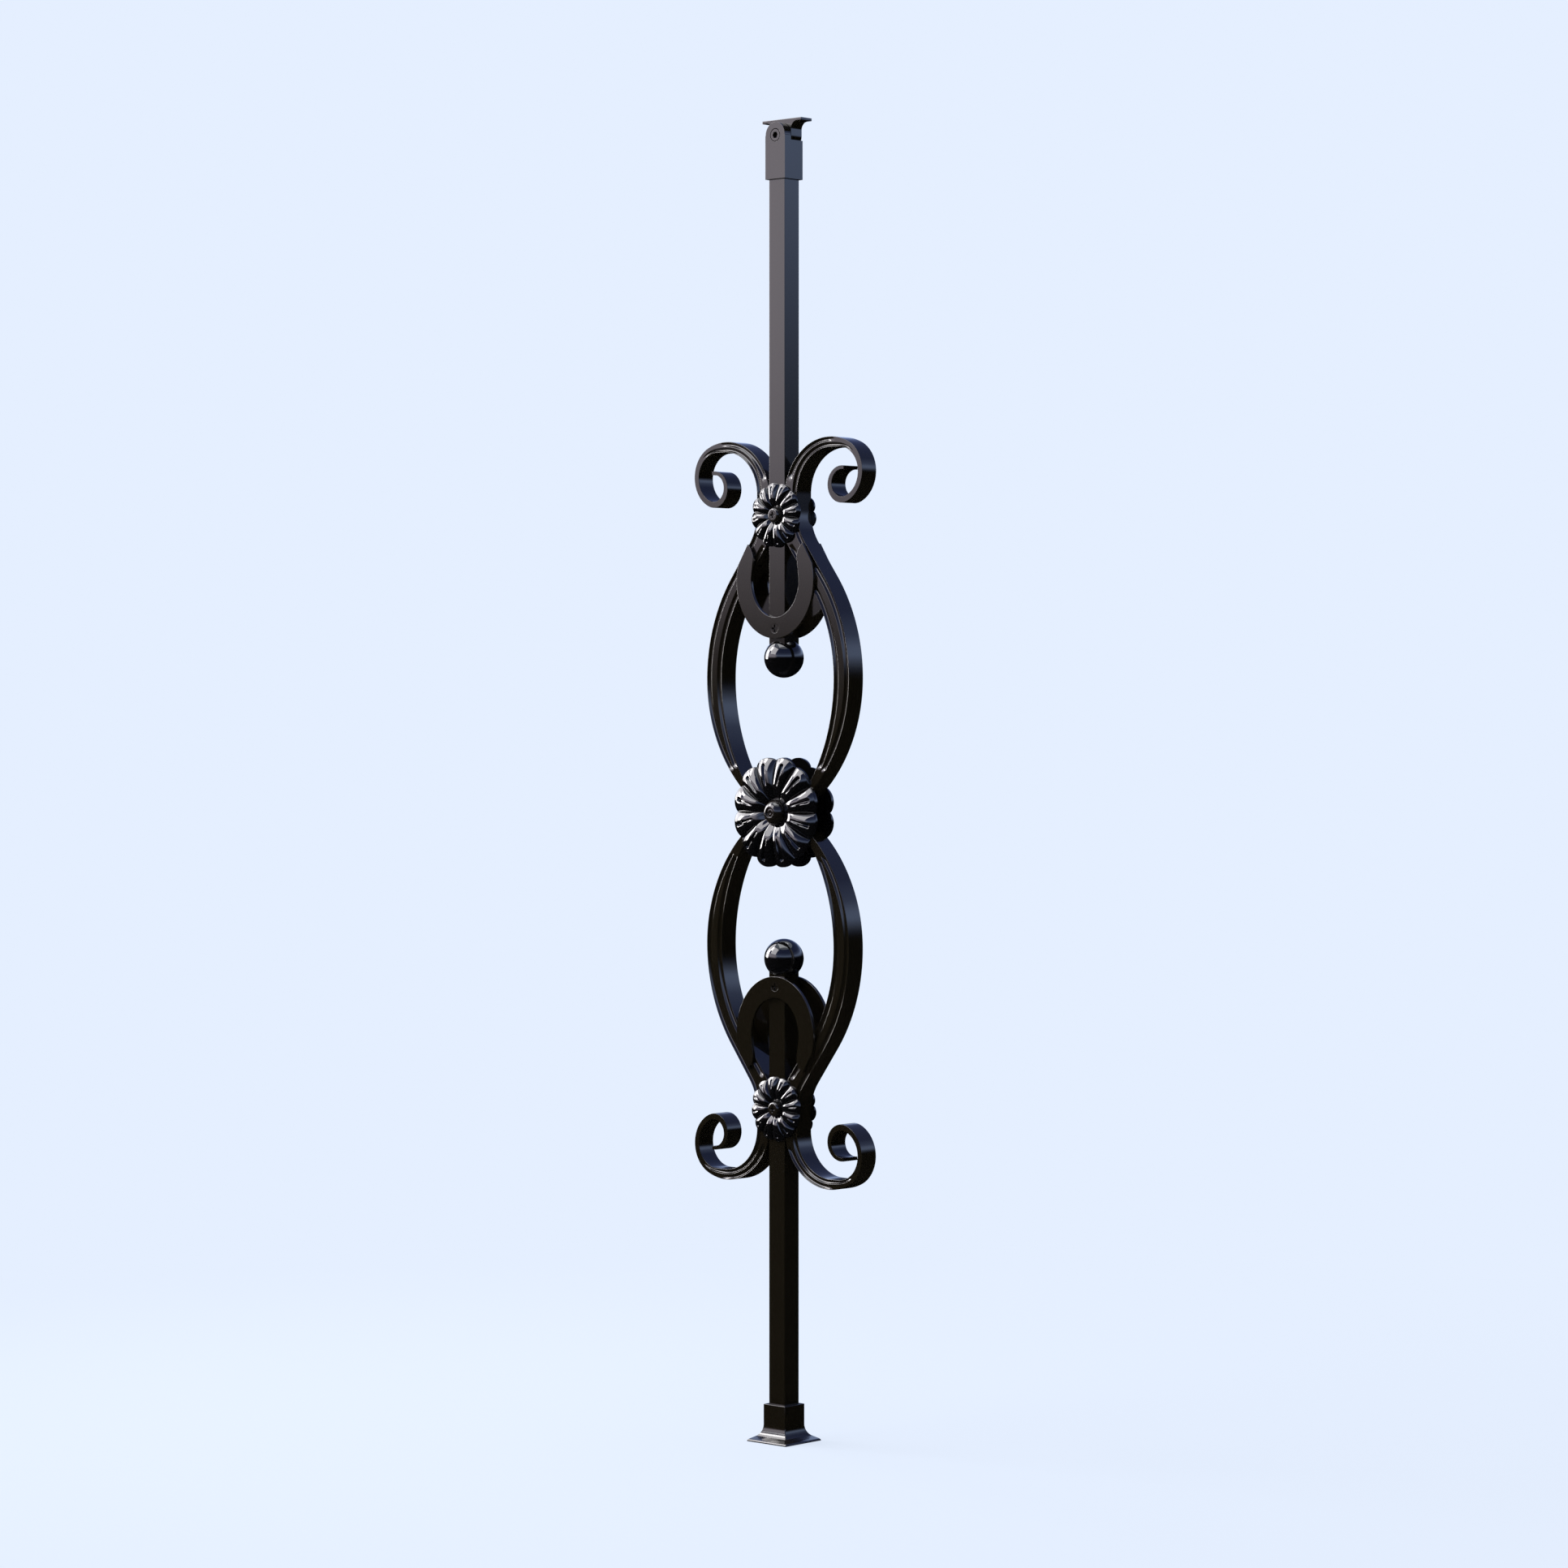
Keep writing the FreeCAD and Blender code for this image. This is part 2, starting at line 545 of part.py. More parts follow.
def rail_plate():
    """The plate that lies under the rail, with its flared lug."""
    shoulder = PIN_Z + LUG_SHOULDER
    flare_x = LUG_R + LUG_FLARE
    flare_mid = V(LUG_R + LUG_FLARE * 0.3, 0, shoulder + (TOP - shoulder) * 0.72)
    end = PLATE_LENGTH / 2
    slope = LUG_R * math.sqrt(0.5)
    outline = [
        Part.makeLine(V(0, 0, RAIL_Z), V(end, 0, RAIL_Z)),
        Part.makeLine(V(end, 0, RAIL_Z), V(end, 0, TOP)),
        Part.makeLine(V(end, 0, TOP), V(flare_x, 0, TOP)),
        Part.Arc(V(flare_x, 0, TOP), flare_mid, V(LUG_R, 0, shoulder)).toShape(),
        Part.makeLine(V(LUG_R, 0, shoulder), V(LUG_R, 0, PIN_Z)),
        Part.Arc(V(LUG_R, 0, PIN_Z), V(slope, 0, PIN_Z - slope), V(0, 0, PIN_Z - LUG_R)).toShape(),
        Part.makeLine(V(0, 0, PIN_Z - LUG_R), V(0, 0, RAIL_Z)),
    ]
    half = Part.Face(Part.Wire(outline)).extrude(V(0, PLATE_BACK - PLATE_FRONT, 0))
    half.translate(V(0, PLATE_FRONT, 0))
    plate = half.fuse(mirrored(half, V(1, 0, 0))).removeSplitter()
    plate = plate.cut(rod_y(PIN_D / 2 + RUN_GAP, PLATE_FRONT, PLATE_BACK, 0, PIN_Z))
    nut_floor = PLATE_BACK - NUT_T - LAP_GAP
    return plate.cut(rod_y(NUT_D / 2 + LAP_GAP, nut_floor, PLATE_BACK, 0, PIN_Z))


def pivot_screw():
    front = -SLEEVE / 2
    head = rod_y(PIN_HEAD_D / 2, front, front + PIN_HEAD_T, 0, PIN_Z)
    shank = rod_y(PIN_D / 2, front, PLATE_BACK - NUT_T / 2, 0, PIN_Z)
    corner = KEY_ACROSS / math.sqrt(3)
    points = []
    for index in range(7):
        angle = math.radians(60 * index)
        points.append(V(corner * math.cos(angle), front, PIN_Z + corner * math.sin(angle)))
    key = Part.Face(Part.makePolygon(points)).extrude(V(0, KEY_DEEP, 0))
    return head.fuse(shank).removeSplitter().cut(key)


def pivot_nut():
    nut = rod_y(NUT_D / 2, PLATE_BACK - NUT_T, PLATE_BACK, 0, PIN_Z)
    return nut.cut(rod_y(PIN_D / 2, PLATE_BACK - NUT_T, PLATE_BACK - NUT_T / 2, 0, PIN_Z))


def build():
    parts = {}
    lower_screws = [LOWER_PLATE_Z - SHOEPLATE_SCREW, CENTRE_Z - SMALL_ROSETTE_RISE]
    upper_screws = [UPPER_PLATE_Z + SHOEPLATE_SCREW, CENTRE_Z + SMALL_ROSETTE_RISE]
    parts["base_shoe"] = base_shoe()
    parts["lower_post"] = post(0, LOWER_BALL_Z - BALL_SEAT, lower_screws)
    parts["upper_post"] = post(UPPER_BALL_Z + BALL_SEAT, SLEEVE_SOCKET_TOP, upper_screws)
    parts["lower_ball"] = ball(LOWER_BALL_Z, -1)
    parts["upper_ball"] = ball(UPPER_BALL_Z, 1)

    right = scroll_bar()
    parts["right_scroll_bar"] = right
    parts["left_scroll_bar"] = mirrored(right, V(1, 0, 0))

    plate, plate_screw = horseshoe(), flush_screw()
    small = rosette(SMALL_ROSETTE_R, SMALL_CREST, SMALL_BOSS, SHANK_D, SMALL_PETAL_AT)
    small_screw = boss_screw(SMALL_BOSS, SMALL_CREST * PETAL_SEAT, SHANK_D)
    large = rosette(LARGE_ROSETTE_R, LARGE_CREST, LARGE_BOSS, LARGE_SHANK_D, LARGE_PETAL_AT)
    large_screw = boss_screw(LARGE_BOSS, LARGE_CREST * PETAL_SEAT, LARGE_SHANK_D)

    for side, face in ((-1, "front"), (1, "rear")):
        for up, level, plate_z in ((-1, "lower", LOWER_PLATE_Z), (1, "upper", UPPER_PLATE_Z)):
            horse = plate if up > 0 else mirrored(plate, ALONG_Y)
            screw_z = plate_z + up * SHOEPLATE_SCREW
            rosette_z = CENTRE_Z + up * SMALL_ROSETTE_RISE
            parts[level + "_horseshoe_" + face] = faced(horse, side, plate_z)
            parts[level + "_horseshoe_screw_" + face] = faced(plate_screw, side, screw_z)
            parts[level + "_rosette_" + face] = faced(small, side, rosette_z)
            parts[level + "_rosette_screw_" + face] = faced(small_screw, side, rosette_z)
        parts["large_rosette_" + face] = faced(large, side, CENTRE_Z)
        parts["large_rosette_screw_" + face] = faced(large_screw, side, CENTRE_Z)

    parts["rail_sleeve"] = rail_sleeve()
    parts["rail_plate"] = rail_plate()
    parts["pivot_screw"] = pivot_screw()
    parts["pivot_nut"] = pivot_nut()
    return parts


os.makedirs("parts", exist_ok=True)
for name, shape in build().items():
    shape.exportStep("parts/" + name + ".step")
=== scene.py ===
"""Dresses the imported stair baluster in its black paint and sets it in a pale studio."""

import json
import logging
import math
from dataclasses import dataclass
from enum import Enum
from typing import Any, Optional

import bmesh
import bpy
import numpy as np
from bpy.types import ID, Material, Mesh, Node, NodeSocket, NodeTree, Object
from mathutils import Matrix, Vector

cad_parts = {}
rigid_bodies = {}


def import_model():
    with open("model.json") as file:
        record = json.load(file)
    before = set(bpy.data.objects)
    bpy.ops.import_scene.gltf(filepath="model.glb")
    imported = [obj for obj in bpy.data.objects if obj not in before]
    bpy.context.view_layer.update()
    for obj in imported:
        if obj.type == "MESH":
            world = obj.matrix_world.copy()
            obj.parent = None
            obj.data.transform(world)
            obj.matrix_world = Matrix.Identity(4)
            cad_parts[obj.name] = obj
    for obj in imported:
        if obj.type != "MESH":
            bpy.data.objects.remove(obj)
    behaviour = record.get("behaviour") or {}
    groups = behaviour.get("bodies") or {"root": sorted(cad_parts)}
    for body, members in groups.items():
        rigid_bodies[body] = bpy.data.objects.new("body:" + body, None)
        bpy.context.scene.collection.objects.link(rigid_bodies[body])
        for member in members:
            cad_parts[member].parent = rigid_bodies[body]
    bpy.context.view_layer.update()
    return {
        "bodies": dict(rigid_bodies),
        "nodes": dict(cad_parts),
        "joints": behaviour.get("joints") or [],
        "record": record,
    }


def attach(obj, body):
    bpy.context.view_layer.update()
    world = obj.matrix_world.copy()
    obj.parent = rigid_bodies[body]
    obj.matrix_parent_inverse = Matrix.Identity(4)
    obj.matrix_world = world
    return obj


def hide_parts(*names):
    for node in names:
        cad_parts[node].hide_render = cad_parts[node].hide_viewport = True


LOG = logging.getLogger("baluster")
MM = 0.001
NEAR = 0.02  # mm, within which a point counts as lying on a face
BAR_FACE = 8.0  # mm, from the middle to the front or back face of the bars
CENTRE_HEIGHT = 477.1  # mm, of the large flowers
CAST_SHARP_DEG = 50.0  # an edge turning more than this stays sharp on a casting
EDGE_MIDDLE = 0.3  # where the middle of a rounded edge lies, of its width

# outline of the large boss: radius and height over the bar's face, in mm
LARGE_BOSS = ((0.0, 1.70), (9.35, 1.70), (9.4, 2.3), (9.3, 3.1), (9.05, 4.0), (8.6, 5.0), (7.9, 6.1),
              (7.0, 7.1), (6.0, 7.9), (5.0, 8.4), (4.4, 8.6), (3.7, 8.6), (3.6, 7.3), (3.0, 7.2),
              (2.9, 7.75), (1.1, 7.9), (1.0, 7.0), (0.0, 7.0))


class Face(Enum):
    """The two sides that carry ornament, with the turn about the upright that reaches them."""

    FRONT = 0.0
    REAR = math.pi

    @property
    def node_suffix(self) -> str:
        """The ending of the names of nodes on this side."""
        return self.name.lower()


class Body(Enum):
    """The bodies that pieces ride on."""

    BALUSTER = "baluster"
    SWIVEL = "rail_swivel"


def linear(colour: str) -> tuple[float, float, float, float]:
    """Turns an sRGB hex colour into linear RGBA.

    Args:
        colour: Six hex digits after a hash.

    Returns:
        The linear colour with full alpha.
    """
    channels = [int(colour[i:i + 2], 16) / 255 for i in (1, 3, 5)]
    bent = [c / 12.92 if c <= 0.04045 else ((c + 0.055) / 1.055) ** 2.4 for c in channels]
    return (*bent, 1.0)


def add_node(tree: NodeTree, kind: str, inputs: Optional[dict[Any, Any]] = None,
             **settings: Any) -> Node:
    """Adds a node, sets its properties, and fills or links its inputs.

    Args:
        tree: The tree that gets the node.
        kind: The node's type.
        inputs: For each input, by name or number, a value or the output to link.
        settings: Properties of the node.

    Returns:
        The new node.
    """
    node = tree.nodes.new(kind)
    for key, value in settings.items():
        setattr(node, key, value)
    for key, value in (inputs or {}).items():
        if isinstance(value, NodeSocket):
            tree.links.new(value, node.inputs[key])
        else:
            node.inputs[key].default_value = value
    return node


def calc(tree: NodeTree, operation: str, *values: Any) -> NodeSocket:
    """Adds a node that reckons with numbers or outputs, and gives its result."""
    return add_node(tree, "ShaderNodeMath", dict(enumerate(values)), operation=operation).outputs[0]


def empty_tree(owner: Any) -> NodeTree:
    """Gives a material or a world its own cleared node tree.

    Args:
        owner: The material or world.

    Returns:
        The tree.
    """
    owner.use_nodes = True
    owner.node_tree.nodes.clear()
    return owner.node_tree


@dataclass(frozen=True)
class Paint:
    """A black paint film on iron.

    The film is nearly black in itself, so the eye reads it by what its clear top mirrors, with a
    faint orange peel, a little duller in patches where it went on thinner.
    """

    name: str
    slot: str
    colour: str
    thin_colour: str
    roughness: float
    thin_roughness: float
    ior: float
    peel_mm: float
    peel_depth_mm: float
    patch_mm: float = 35.0

    def material(self) -> Material:
        """Gives the paint's one material, made when it is first asked for."""
        return bpy.data.materials.get(self.name) or self.make()

    def make(self) -> Material:
        """Builds the material.

        Returns:
            The material, with its patterns on Object coordinates.
        """
        material = bpy.data.materials.new(self.name)
        tree = empty_tree(material)
        place = add_node(tree, "ShaderNodeTexCoord").outputs["Object"]
        patches = add_node(tree, "ShaderNodeTexNoise", {
            "Vector": place, "Scale": 1 / (self.patch_mm * MM), "Detail": 3.0, "Roughness": 0.6})
        peel = add_node(tree, "ShaderNodeTexNoise", {
            "Vector": place, "Scale": 1 / (self.peel_mm * MM), "Detail": 1.0, "Roughness": 0.4})
        colour = add_node(tree, "ShaderNodeMix", {
            "Factor": patches.outputs["Fac"], 6: linear(self.colour),
            7: linear(self.thin_colour)}, data_type="RGBA")
        dullness = add_node(tree, "ShaderNodeMapRange", {
            "Value": patches.outputs["Fac"], "From Min": 0.35, "From Max": 0.7,
            "To Min": self.roughness, "To Max": self.thin_roughness})
        bump = add_node(tree, "ShaderNodeBump", {
            "Height": peel.outputs["Fac"], "Strength": 0.5, "Distance": self.peel_depth_mm * MM})
        shader = add_node(tree, "ShaderNodeBsdfPrincipled", {
            "Base Color": colour.outputs[2], "Roughness": dullness.outputs["Result"],
            "Normal": bump.outputs["Normal"], "IOR": self.ior})
        add_node(tree, "ShaderNodeOutputMaterial", {"Surface": shader.outputs["BSDF"]})
        return material


# Powder coat on the bars and plates: an even sheen over a warm near-black, its mirror a little soft.
SATIN_PAINT = Paint("satin_black_powder_coat", "satin_black_paint", "#13100a", "#17130c",
                    roughness=0.08, thin_roughness=0.11, ior=1.7, peel_mm=2.6, peel_depth_mm=0.0015)
# Enamel on the cast flowers and balls: it pools on the swells and mirrors the lamps brightly.
GLOSS_PAINT = Paint("gloss_black_enamel", "gloss_black_paint", "#080808", "#0d0c0d",
                    roughness=0.05, thin_roughness=0.08, ior=1.75, peel_mm=3.2, peel_depth_mm=0.0015)
# Blackened steel screws under a thin coat: the tone of the iron round them, a shade duller.
SCREW_PAINT = Paint("blackened_steel_screw", "screw_black", "#15120d", "#1b1711",
                    roughness=0.09, thin_roughness=0.13, ior=1.7, peel_mm=1.8, peel_depth_mm=0.002)


def plain_mesh(obj: Object) -> None:
    """Turns an object's evaluated modifiers into its own plain mesh."""
    graph = bpy.context.evaluated_depsgraph_get()
    mesh = bpy.data.meshes.new_from_object(obj.evaluated_get(graph), preserve_all_data_layers=True,
                                           depsgraph=graph)
    obj.modifiers.clear()
    obj.data = mesh
    mesh.name = obj.name


def new_object(name: str, data: ID) -> Object:
    """Links a new object.

    Args:
        name: The object's name.
        data: Its mesh, lamp or camera.

    Returns:
        The object, at the origin.
    """
    obj = bpy.data.objects.new(name, data)
    bpy.context.scene.collection.objects.link(obj)
    return obj


def loft(name: str, rows: list[list[tuple[float, float, float]]], ring: bool = False) -> Mesh:
    """Builds a skin of four-sided faces between rows of points, the last row joined to the first.

    Args:
        name: The mesh's name.
        rows: Rows of points, each as long as the others.
        ring: Whether each row runs back to its own start.

    Returns:
        The mesh.
    """
    faces, wide = [], len(rows[0])
    for row in range(len(rows)):
        here, there = row * wide, (row + 1) % len(rows) * wide
        for i in range(wide if ring else wide - 1):
            j = (i + 1) % wide
            faces.append((here + i, here + j, there + j, there + i))
    mesh = bpy.data.meshes.new(name)
    mesh.from_pydata([point for row in rows for point in row], [], faces)
    return mesh


def merged_copy(node: Object, name: str) -> Object:
    """Copies a node with its loose triangles merged and its flat faces whole.

    Args:
        node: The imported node.
        name: The copy's name.

    Returns:
        The new object.
    """
    work = bmesh.new()
    work.from_mesh(node.data)
    bmesh.ops.remove_doubles(work, verts=work.verts, dist=2e-6)
    bmesh.ops.dissolve_limit(work, angle_limit=math.radians(0.2), verts=work.verts,
                             edges=work.edges, use_dissolve_boundaries=False)
    mesh = bpy.data.meshes.new(name)
    work.to_mesh(mesh)
    work.free()
    return new_object(name, mesh)


def weigh_normals(obj: Object) -> None:
    """Makes wide faces shade flat beside narrow broken edges."""
    weigh = obj.modifiers.new("Flat faces", "WEIGHTED_NORMAL")
    weigh.mode = "FACE_AREA"
    weigh.weight = 100
    weigh.keep_sharp = True
    plain_mesh(obj)


def ease_edges(obj: Object, width_mm: float, sharp_deg: float = 30.0) -> None:
    """Breaks the sharp edges of a piece and shades it smooth between them.

    Args:
        obj: The piece.
        width_mm: Width of the broken edge, or 0 to leave the edges crisp.
        sharp_deg: Angle past which an edge counts as sharp.
    """
    mesh = obj.data
    mesh.polygons.foreach_set("use_smooth", [True] * len(mesh.polygons))
    if not width_mm:
        mesh.set_sharp_from_angle(angle=math.radians(sharp_deg))
        return
    bevel = obj.modifiers.new("Broken edges", "BEVEL")
    bevel.width = width_mm * MM
    bevel.segments = 2
    bevel.limit_method = "ANGLE"
    bevel.angle_limit = math.radians(sharp_deg)
    bevel.use_clamp_overlap = False
    bevel.miter_outer = "MITER_ARC"
    weigh_normals(obj)


def close_up(mesh: Mesh, sharp_deg: float) -> None:
    """Turns a closed mesh's faces outward and marks its sharp edges.

    Args:
        mesh: The mesh.
        sharp_deg: Angle past which an edge is sharp.
    """
    work = bmesh.new()
    work.from_mesh(mesh)
    bmesh.ops.dissolve_degenerate(work, edges=work.edges, dist=1e-7)
    bmesh.ops.recalc_face_normals(work, faces=work.faces)
    work.to_mesh(mesh)
    work.free()
    mesh.polygons.foreach_set("use_smooth", [True] * len(mesh.polygons))
    mesh.set_sharp_from_angle(angle=math.radians(sharp_deg))


def hand_over(obj: Object, body: Body, paint: Paint, nodes: tuple[str, ...]) -> None:
    """Sets a finished piece on its body and hides the nodes that it stands in for.

    Args:
        obj: The piece.
        body: The body it rides on.
        paint: Not used.
        nodes: The nodes it replaces.
    """
    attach(obj, body.value)
    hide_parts(*nodes)
    LOG.info("%s: %d faces", obj.name, len(obj.data.polygons))


@dataclass(frozen=True)
class Softbox:
    """A soft lamp, in metres round the object; at a radiance of 1 it looks white."""

    name: str
    turn_deg: float
    distance: float
    height: float
    size: tuple[float, float]
    radiance: float
    colour: str = "#fffbfa"


SOFTBOXES = (
    Softbox("key_left", -84.0, 3.3, 2.15, (2.7, 3.7), 4.6),
    Softbox("strip_left", -74.0, 3.1, 1.2, (0.8, 1.6), 12.0),
    Softbox("core_left", -58.0, 3.1, 2.9, (1.0, 1.1), 10.0),
    Softbox("key_front", -30.0, 3.3, 2.9, (2.7, 2.4), 4.6),
    Softbox("overhead", -45.0, 0.141421, 3.4, (2.2, 2.2), 2.5, "#ffffff"))


@dataclass
class Studio:
    """The pale floor, the lamps, a glowing tent that paints the reflections, and the camera."""

    pale: str = "#e5efff"
    floor_colour: str = "#c6cfdc"
    camera_turn_deg: float = 42.3
    camera_distance: float = 3.302
    camera_height: float = 0.5605
    aim_height: float = 0.4985
    lens_mm: float = 100.2
    ambient: float = 0.35
    floor_half: float = 30.0
    floor_drop: float = 0.0003  # clear of the shoe's underside
    lamp_aim: float = 0.55
    tent_radius: float = 6.0
    tent_sides: int = 48
    # height on the tent in metres, and its glow there: painted reflections, black at the foot for
    # painted dark reflections low down
    tent_tones: tuple[tuple[float, str], ...] = (
        (0.0, "#000000"), (0.56, "#000000"), (0.80, "#161a24"), (1.05, "#454e66"),
        (1.18, "#646f86"), (1.33, "#7886a6"), (1.48, "#8fa0c5"), (1.73, "#acc2ee"),
        (2.1, "#a8bce8"), (2.7, "#7686b0"), (4.0, "#4c5984"), (9.0, "#3d4a77"))
    tent_strength: float = 1.5
    # the same on the side of the lamps, where the tent glows brighter as a painted reflection of a lit
    # studio
    lamp_tones: tuple[tuple[float, str], ...] = (
        (0.0, "#000000"), (0.56, "#000000"), (0.72, "#635f66"), (0.93, "#aaa3ae"),
        (1.03, "#cfc7d4"), (1.18, "#e0d8e5"), (1.29, "#ebe3f0"), (1.49, "#f3ebf8"),
        (1.74, "#f7effd"), (2.3, "#f7effd"), (2.7, "#4c5984"), (9.0, "#3d4a77"))
    lamp_strength: float = 2.0
    dark_turn_deg: float = 96.0  # from the camera to the middle of the side away from the lamps
    lamp_edge: tuple[float, float] = (-0.92, -0.70)  # where the lamps' side ends, of the radius

    def toward(self, turn_deg: float, distance: float, height: float) -> Vector:
        """Gives a place round the object.

        Args:
            turn_deg: Turn from the front, towards the right.
            distance: Distance from the upright axis, in metres.
            height: Height over the floor, in metres.

        Returns:
            The point.
        """
        turn = math.radians(turn_deg)
        return Vector((distance * math.sin(turn), -distance * math.cos(turn), height))

    def stand(self, name: str, data: ID, place: Vector, aim: float) -> Object:
        """Stands a camera or a lamp so that it faces the object.

        Args:
            name: The object's name.
            data: The camera or the lamp.
            place: Where it stands.
            aim: Height that it faces on the upright axis, in metres.

        Returns:
            The object.
        """
        obj = new_object(name, data)
        obj.location = place
        obj.rotation_mode = "QUATERNION"
        obj.rotation_quaternion = (Vector((0.0, 0.0, aim)) - place).to_track_quat("-Z", "Y")
        return obj

    def camera(self) -> None:
        """Stands the camera where the photograph was taken from."""
        data = bpy.data.cameras.new("camera")
        data.lens = self.lens_mm
        data.sensor_width = 36.0
        data.clip_end = 200.0
        place = self.toward(self.camera_turn_deg, self.camera_distance, self.camera_height)
        bpy.context.scene.camera = self.stand("camera", data, place, self.aim_height)

    def seen(self, tree: NodeTree) -> NodeSocket:
        """Adds the test for rays that see the background, straight or in a reflection.

        Args:
            tree: The tree that gets the nodes.

        Returns:
            An output that is 1 for such rays.
        """
        path = add_node(tree, "ShaderNodeLightPath").outputs
        first = calc(tree, "MAXIMUM", path["Is Camera Ray"], path["Is Glossy Ray"])
        return calc(tree, "MAXIMUM", first, path["Is Transmission Ray"])

    def world(self) -> None:
        """Fills the surroundings with an even pale light."""
        world = bpy.data.worlds.new("pale_studio")
        bpy.context.scene.world = world
        tree = empty_tree(world)
        strength = add_node(tree, "ShaderNodeMapRange", {
            "Value": self.seen(tree), "To Min": self.ambient, "To Max": 1.0})
        back = add_node(tree, "ShaderNodeBackground", {
            "Color": linear(self.pale), "Strength": strength.outputs["Result"]})
        add_node(tree, "ShaderNodeOutputWorld", {"Surface": back.outputs["Background"]})

    def floor(self) -> None:
        """Lays a pale floor that keeps the object's soft shadow and runs out into the background."""
        half = self.floor_half
        mesh = bpy.data.meshes.new("floor")
        corners = [(-half, -half), (half, -half), (half, half), (-half, half)]
        mesh.from_pydata([(x, y, -self.floor_drop) for x, y in corners], [], [(0, 1, 2, 3)])
        obj = new_object("floor", mesh)
        material = bpy.data.materials.new("pale_floor")
        tree = empty_tree(material)
        place = add_node(tree, "ShaderNodeTexCoord").outputs["Object"]
        away = add_node(tree, "ShaderNodeVectorMath", {0: place}, operation="LENGTH")
        far = add_node(tree, "ShaderNodeMapRange", {
            "Value": away.outputs["Value"], "From Min": 0.2, "From Max": 1.2, "To Min": 0.82,
            "To Max": 1.0}, interpolation_type="SMOOTHSTEP")
        share = calc(tree, "MULTIPLY", far.outputs["Result"], self.seen(tree))
        matt = add_node(tree, "ShaderNodeBsdfDiffuse", {"Color": linear(self.floor_colour)})
        even = add_node(tree, "ShaderNodeEmission", {"Color": linear(self.pale), "Strength": 1.0})
        mixed = add_node(tree, "ShaderNodeMixShader", {
            0: share, 1: matt.outputs["BSDF"], 2: even.outputs["Emission"]})
        add_node(tree, "ShaderNodeOutputMaterial", {"Surface": mixed.outputs["Shader"]})
        mesh.materials.append(material)

    def hang(self, lamp: Softbox) -> None:
        """Hangs a softbox so that it faces the object.

        Args:
            lamp: The softbox.
        """
        data = bpy.data.lights.new(lamp.name, "AREA")
        data.shape = "RECTANGLE"
        data.size, data.size_y = lamp.size
        data.energy = lamp.radiance * math.pi * data.size * data.size_y
        data.color = linear(lamp.colour)[:3]
        place = self.toward(lamp.turn_deg, lamp.distance, lamp.height)
        self.stand(lamp.name, data, place, self.lamp_aim).visible_camera = False

    def tent(self) -> None:
        """Hangs a glowing tent that only gloss sees, though it is no lamp: painted reflections, black
        at the foot and bright on the side of the lamps.
        """
        top = self.tent_tones[-1][0]
        points = [Vector()]
        for height in (0.0, top):
            points += [self.toward(360.0 * i / self.tent_sides, self.tent_radius, height)
                       for i in range(self.tent_sides)]
        faces = []
        for i in range(self.tent_sides):
            here, there = 1 + i, 1 + (i + 1) % self.tent_sides
            faces.append((0, here, there))
            faces.append((here, here + self.tent_sides, there + self.tent_sides, there))
        mesh = bpy.data.meshes.new("tent")
        mesh.from_pydata([tuple(p) for p in points], [], faces)
        # The tent's glow is painted reflection: it lights nothing, and only mirrors show it.
        reflection_glow = bpy.data.materials.new("graded_tent_cloth")
        tree = empty_tree(reflection_glow)
        place = add_node(tree, "ShaderNodeTexCoord").outputs["Object"]
        height = add_node(tree, "ShaderNodeSeparateXYZ", {0: place})
        level = calc(tree, "DIVIDE", height.outputs["Z"], top)
        glows = []
        for tones, strength in ((self.lamp_tones, self.lamp_strength),
                                (self.tent_tones, self.tent_strength)):
            ramp = add_node(tree, "ShaderNodeValToRGB", {"Fac": level})
            stops = ramp.color_ramp.elements
            while len(stops) < len(tones):
                stops.new(1.0)
            for stop, (at, tone) in zip(stops, tones):
                stop.position = at / top
                stop.color = linear(tone)
            glows.append(add_node(tree, "ShaderNodeEmission", {
                "Color": ramp.outputs["Color"], "Strength": strength}).outputs["Emission"])
        dark = self.toward(self.camera_turn_deg + self.dark_turn_deg, 1 / self.tent_radius, 0.0)
        side = add_node(tree, "ShaderNodeVectorMath", {0: place, 1: dark}, operation="DOT_PRODUCT")
        away = add_node(tree, "ShaderNodeMapRange", {
            "Value": side.outputs["Value"], "From Min": self.lamp_edge[0],
            "From Max": self.lamp_edge[1]}, interpolation_type="SMOOTHSTEP")
        glow = add_node(tree, "ShaderNodeMixShader", {
            0: away.outputs["Result"], 1: glows[0], 2: glows[1]})
        add_node(tree, "ShaderNodeOutputMaterial", {"Surface": glow.outputs["Shader"]})
        reflection_glow.cycles.emission_sampling = "NONE"
        mesh.materials.append(reflection_glow)
        obj = new_object("tent", mesh)
        # Hidden from the camera, diffuse light and shadow, so its glow shows only as painted
        # reflections.
        for kind in ("camera", "diffuse", "transmission", "shadow"):
            setattr(obj, "visible_" + kind, False)

    def build(self) -> None:
        """Sets the whole studio."""
        self.world()
        self.floor()
        self.tent()
        for lamp in SOFTBOXES:
            self.hang(lamp)
        self.camera()


@dataclass
class DressedNodes:
    """Pieces whose solid already has the real shape: they get broken edges and paint."""

    nodes: tuple[str, ...]
    paint: Paint
    body: Body
    edge_mm: float

    def carve(self, obj: Object) -> None:
        """Leaves the shape as it is; a kind of piece may change it here."""

    def build(self, frame: dict[str, Any]) -> None:
        """Makes a dressed piece for each node.

        Args:
            frame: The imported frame.
        """
        for node in self.nodes:
            obj = merged_copy(frame["nodes"][node], node + "_painted")
            self.carve(obj)
            obj.data.materials.append(self.paint.material())
            ease_edges(obj, self.edge_mm)
            hand_over(obj, self.body, self.paint, (node,))


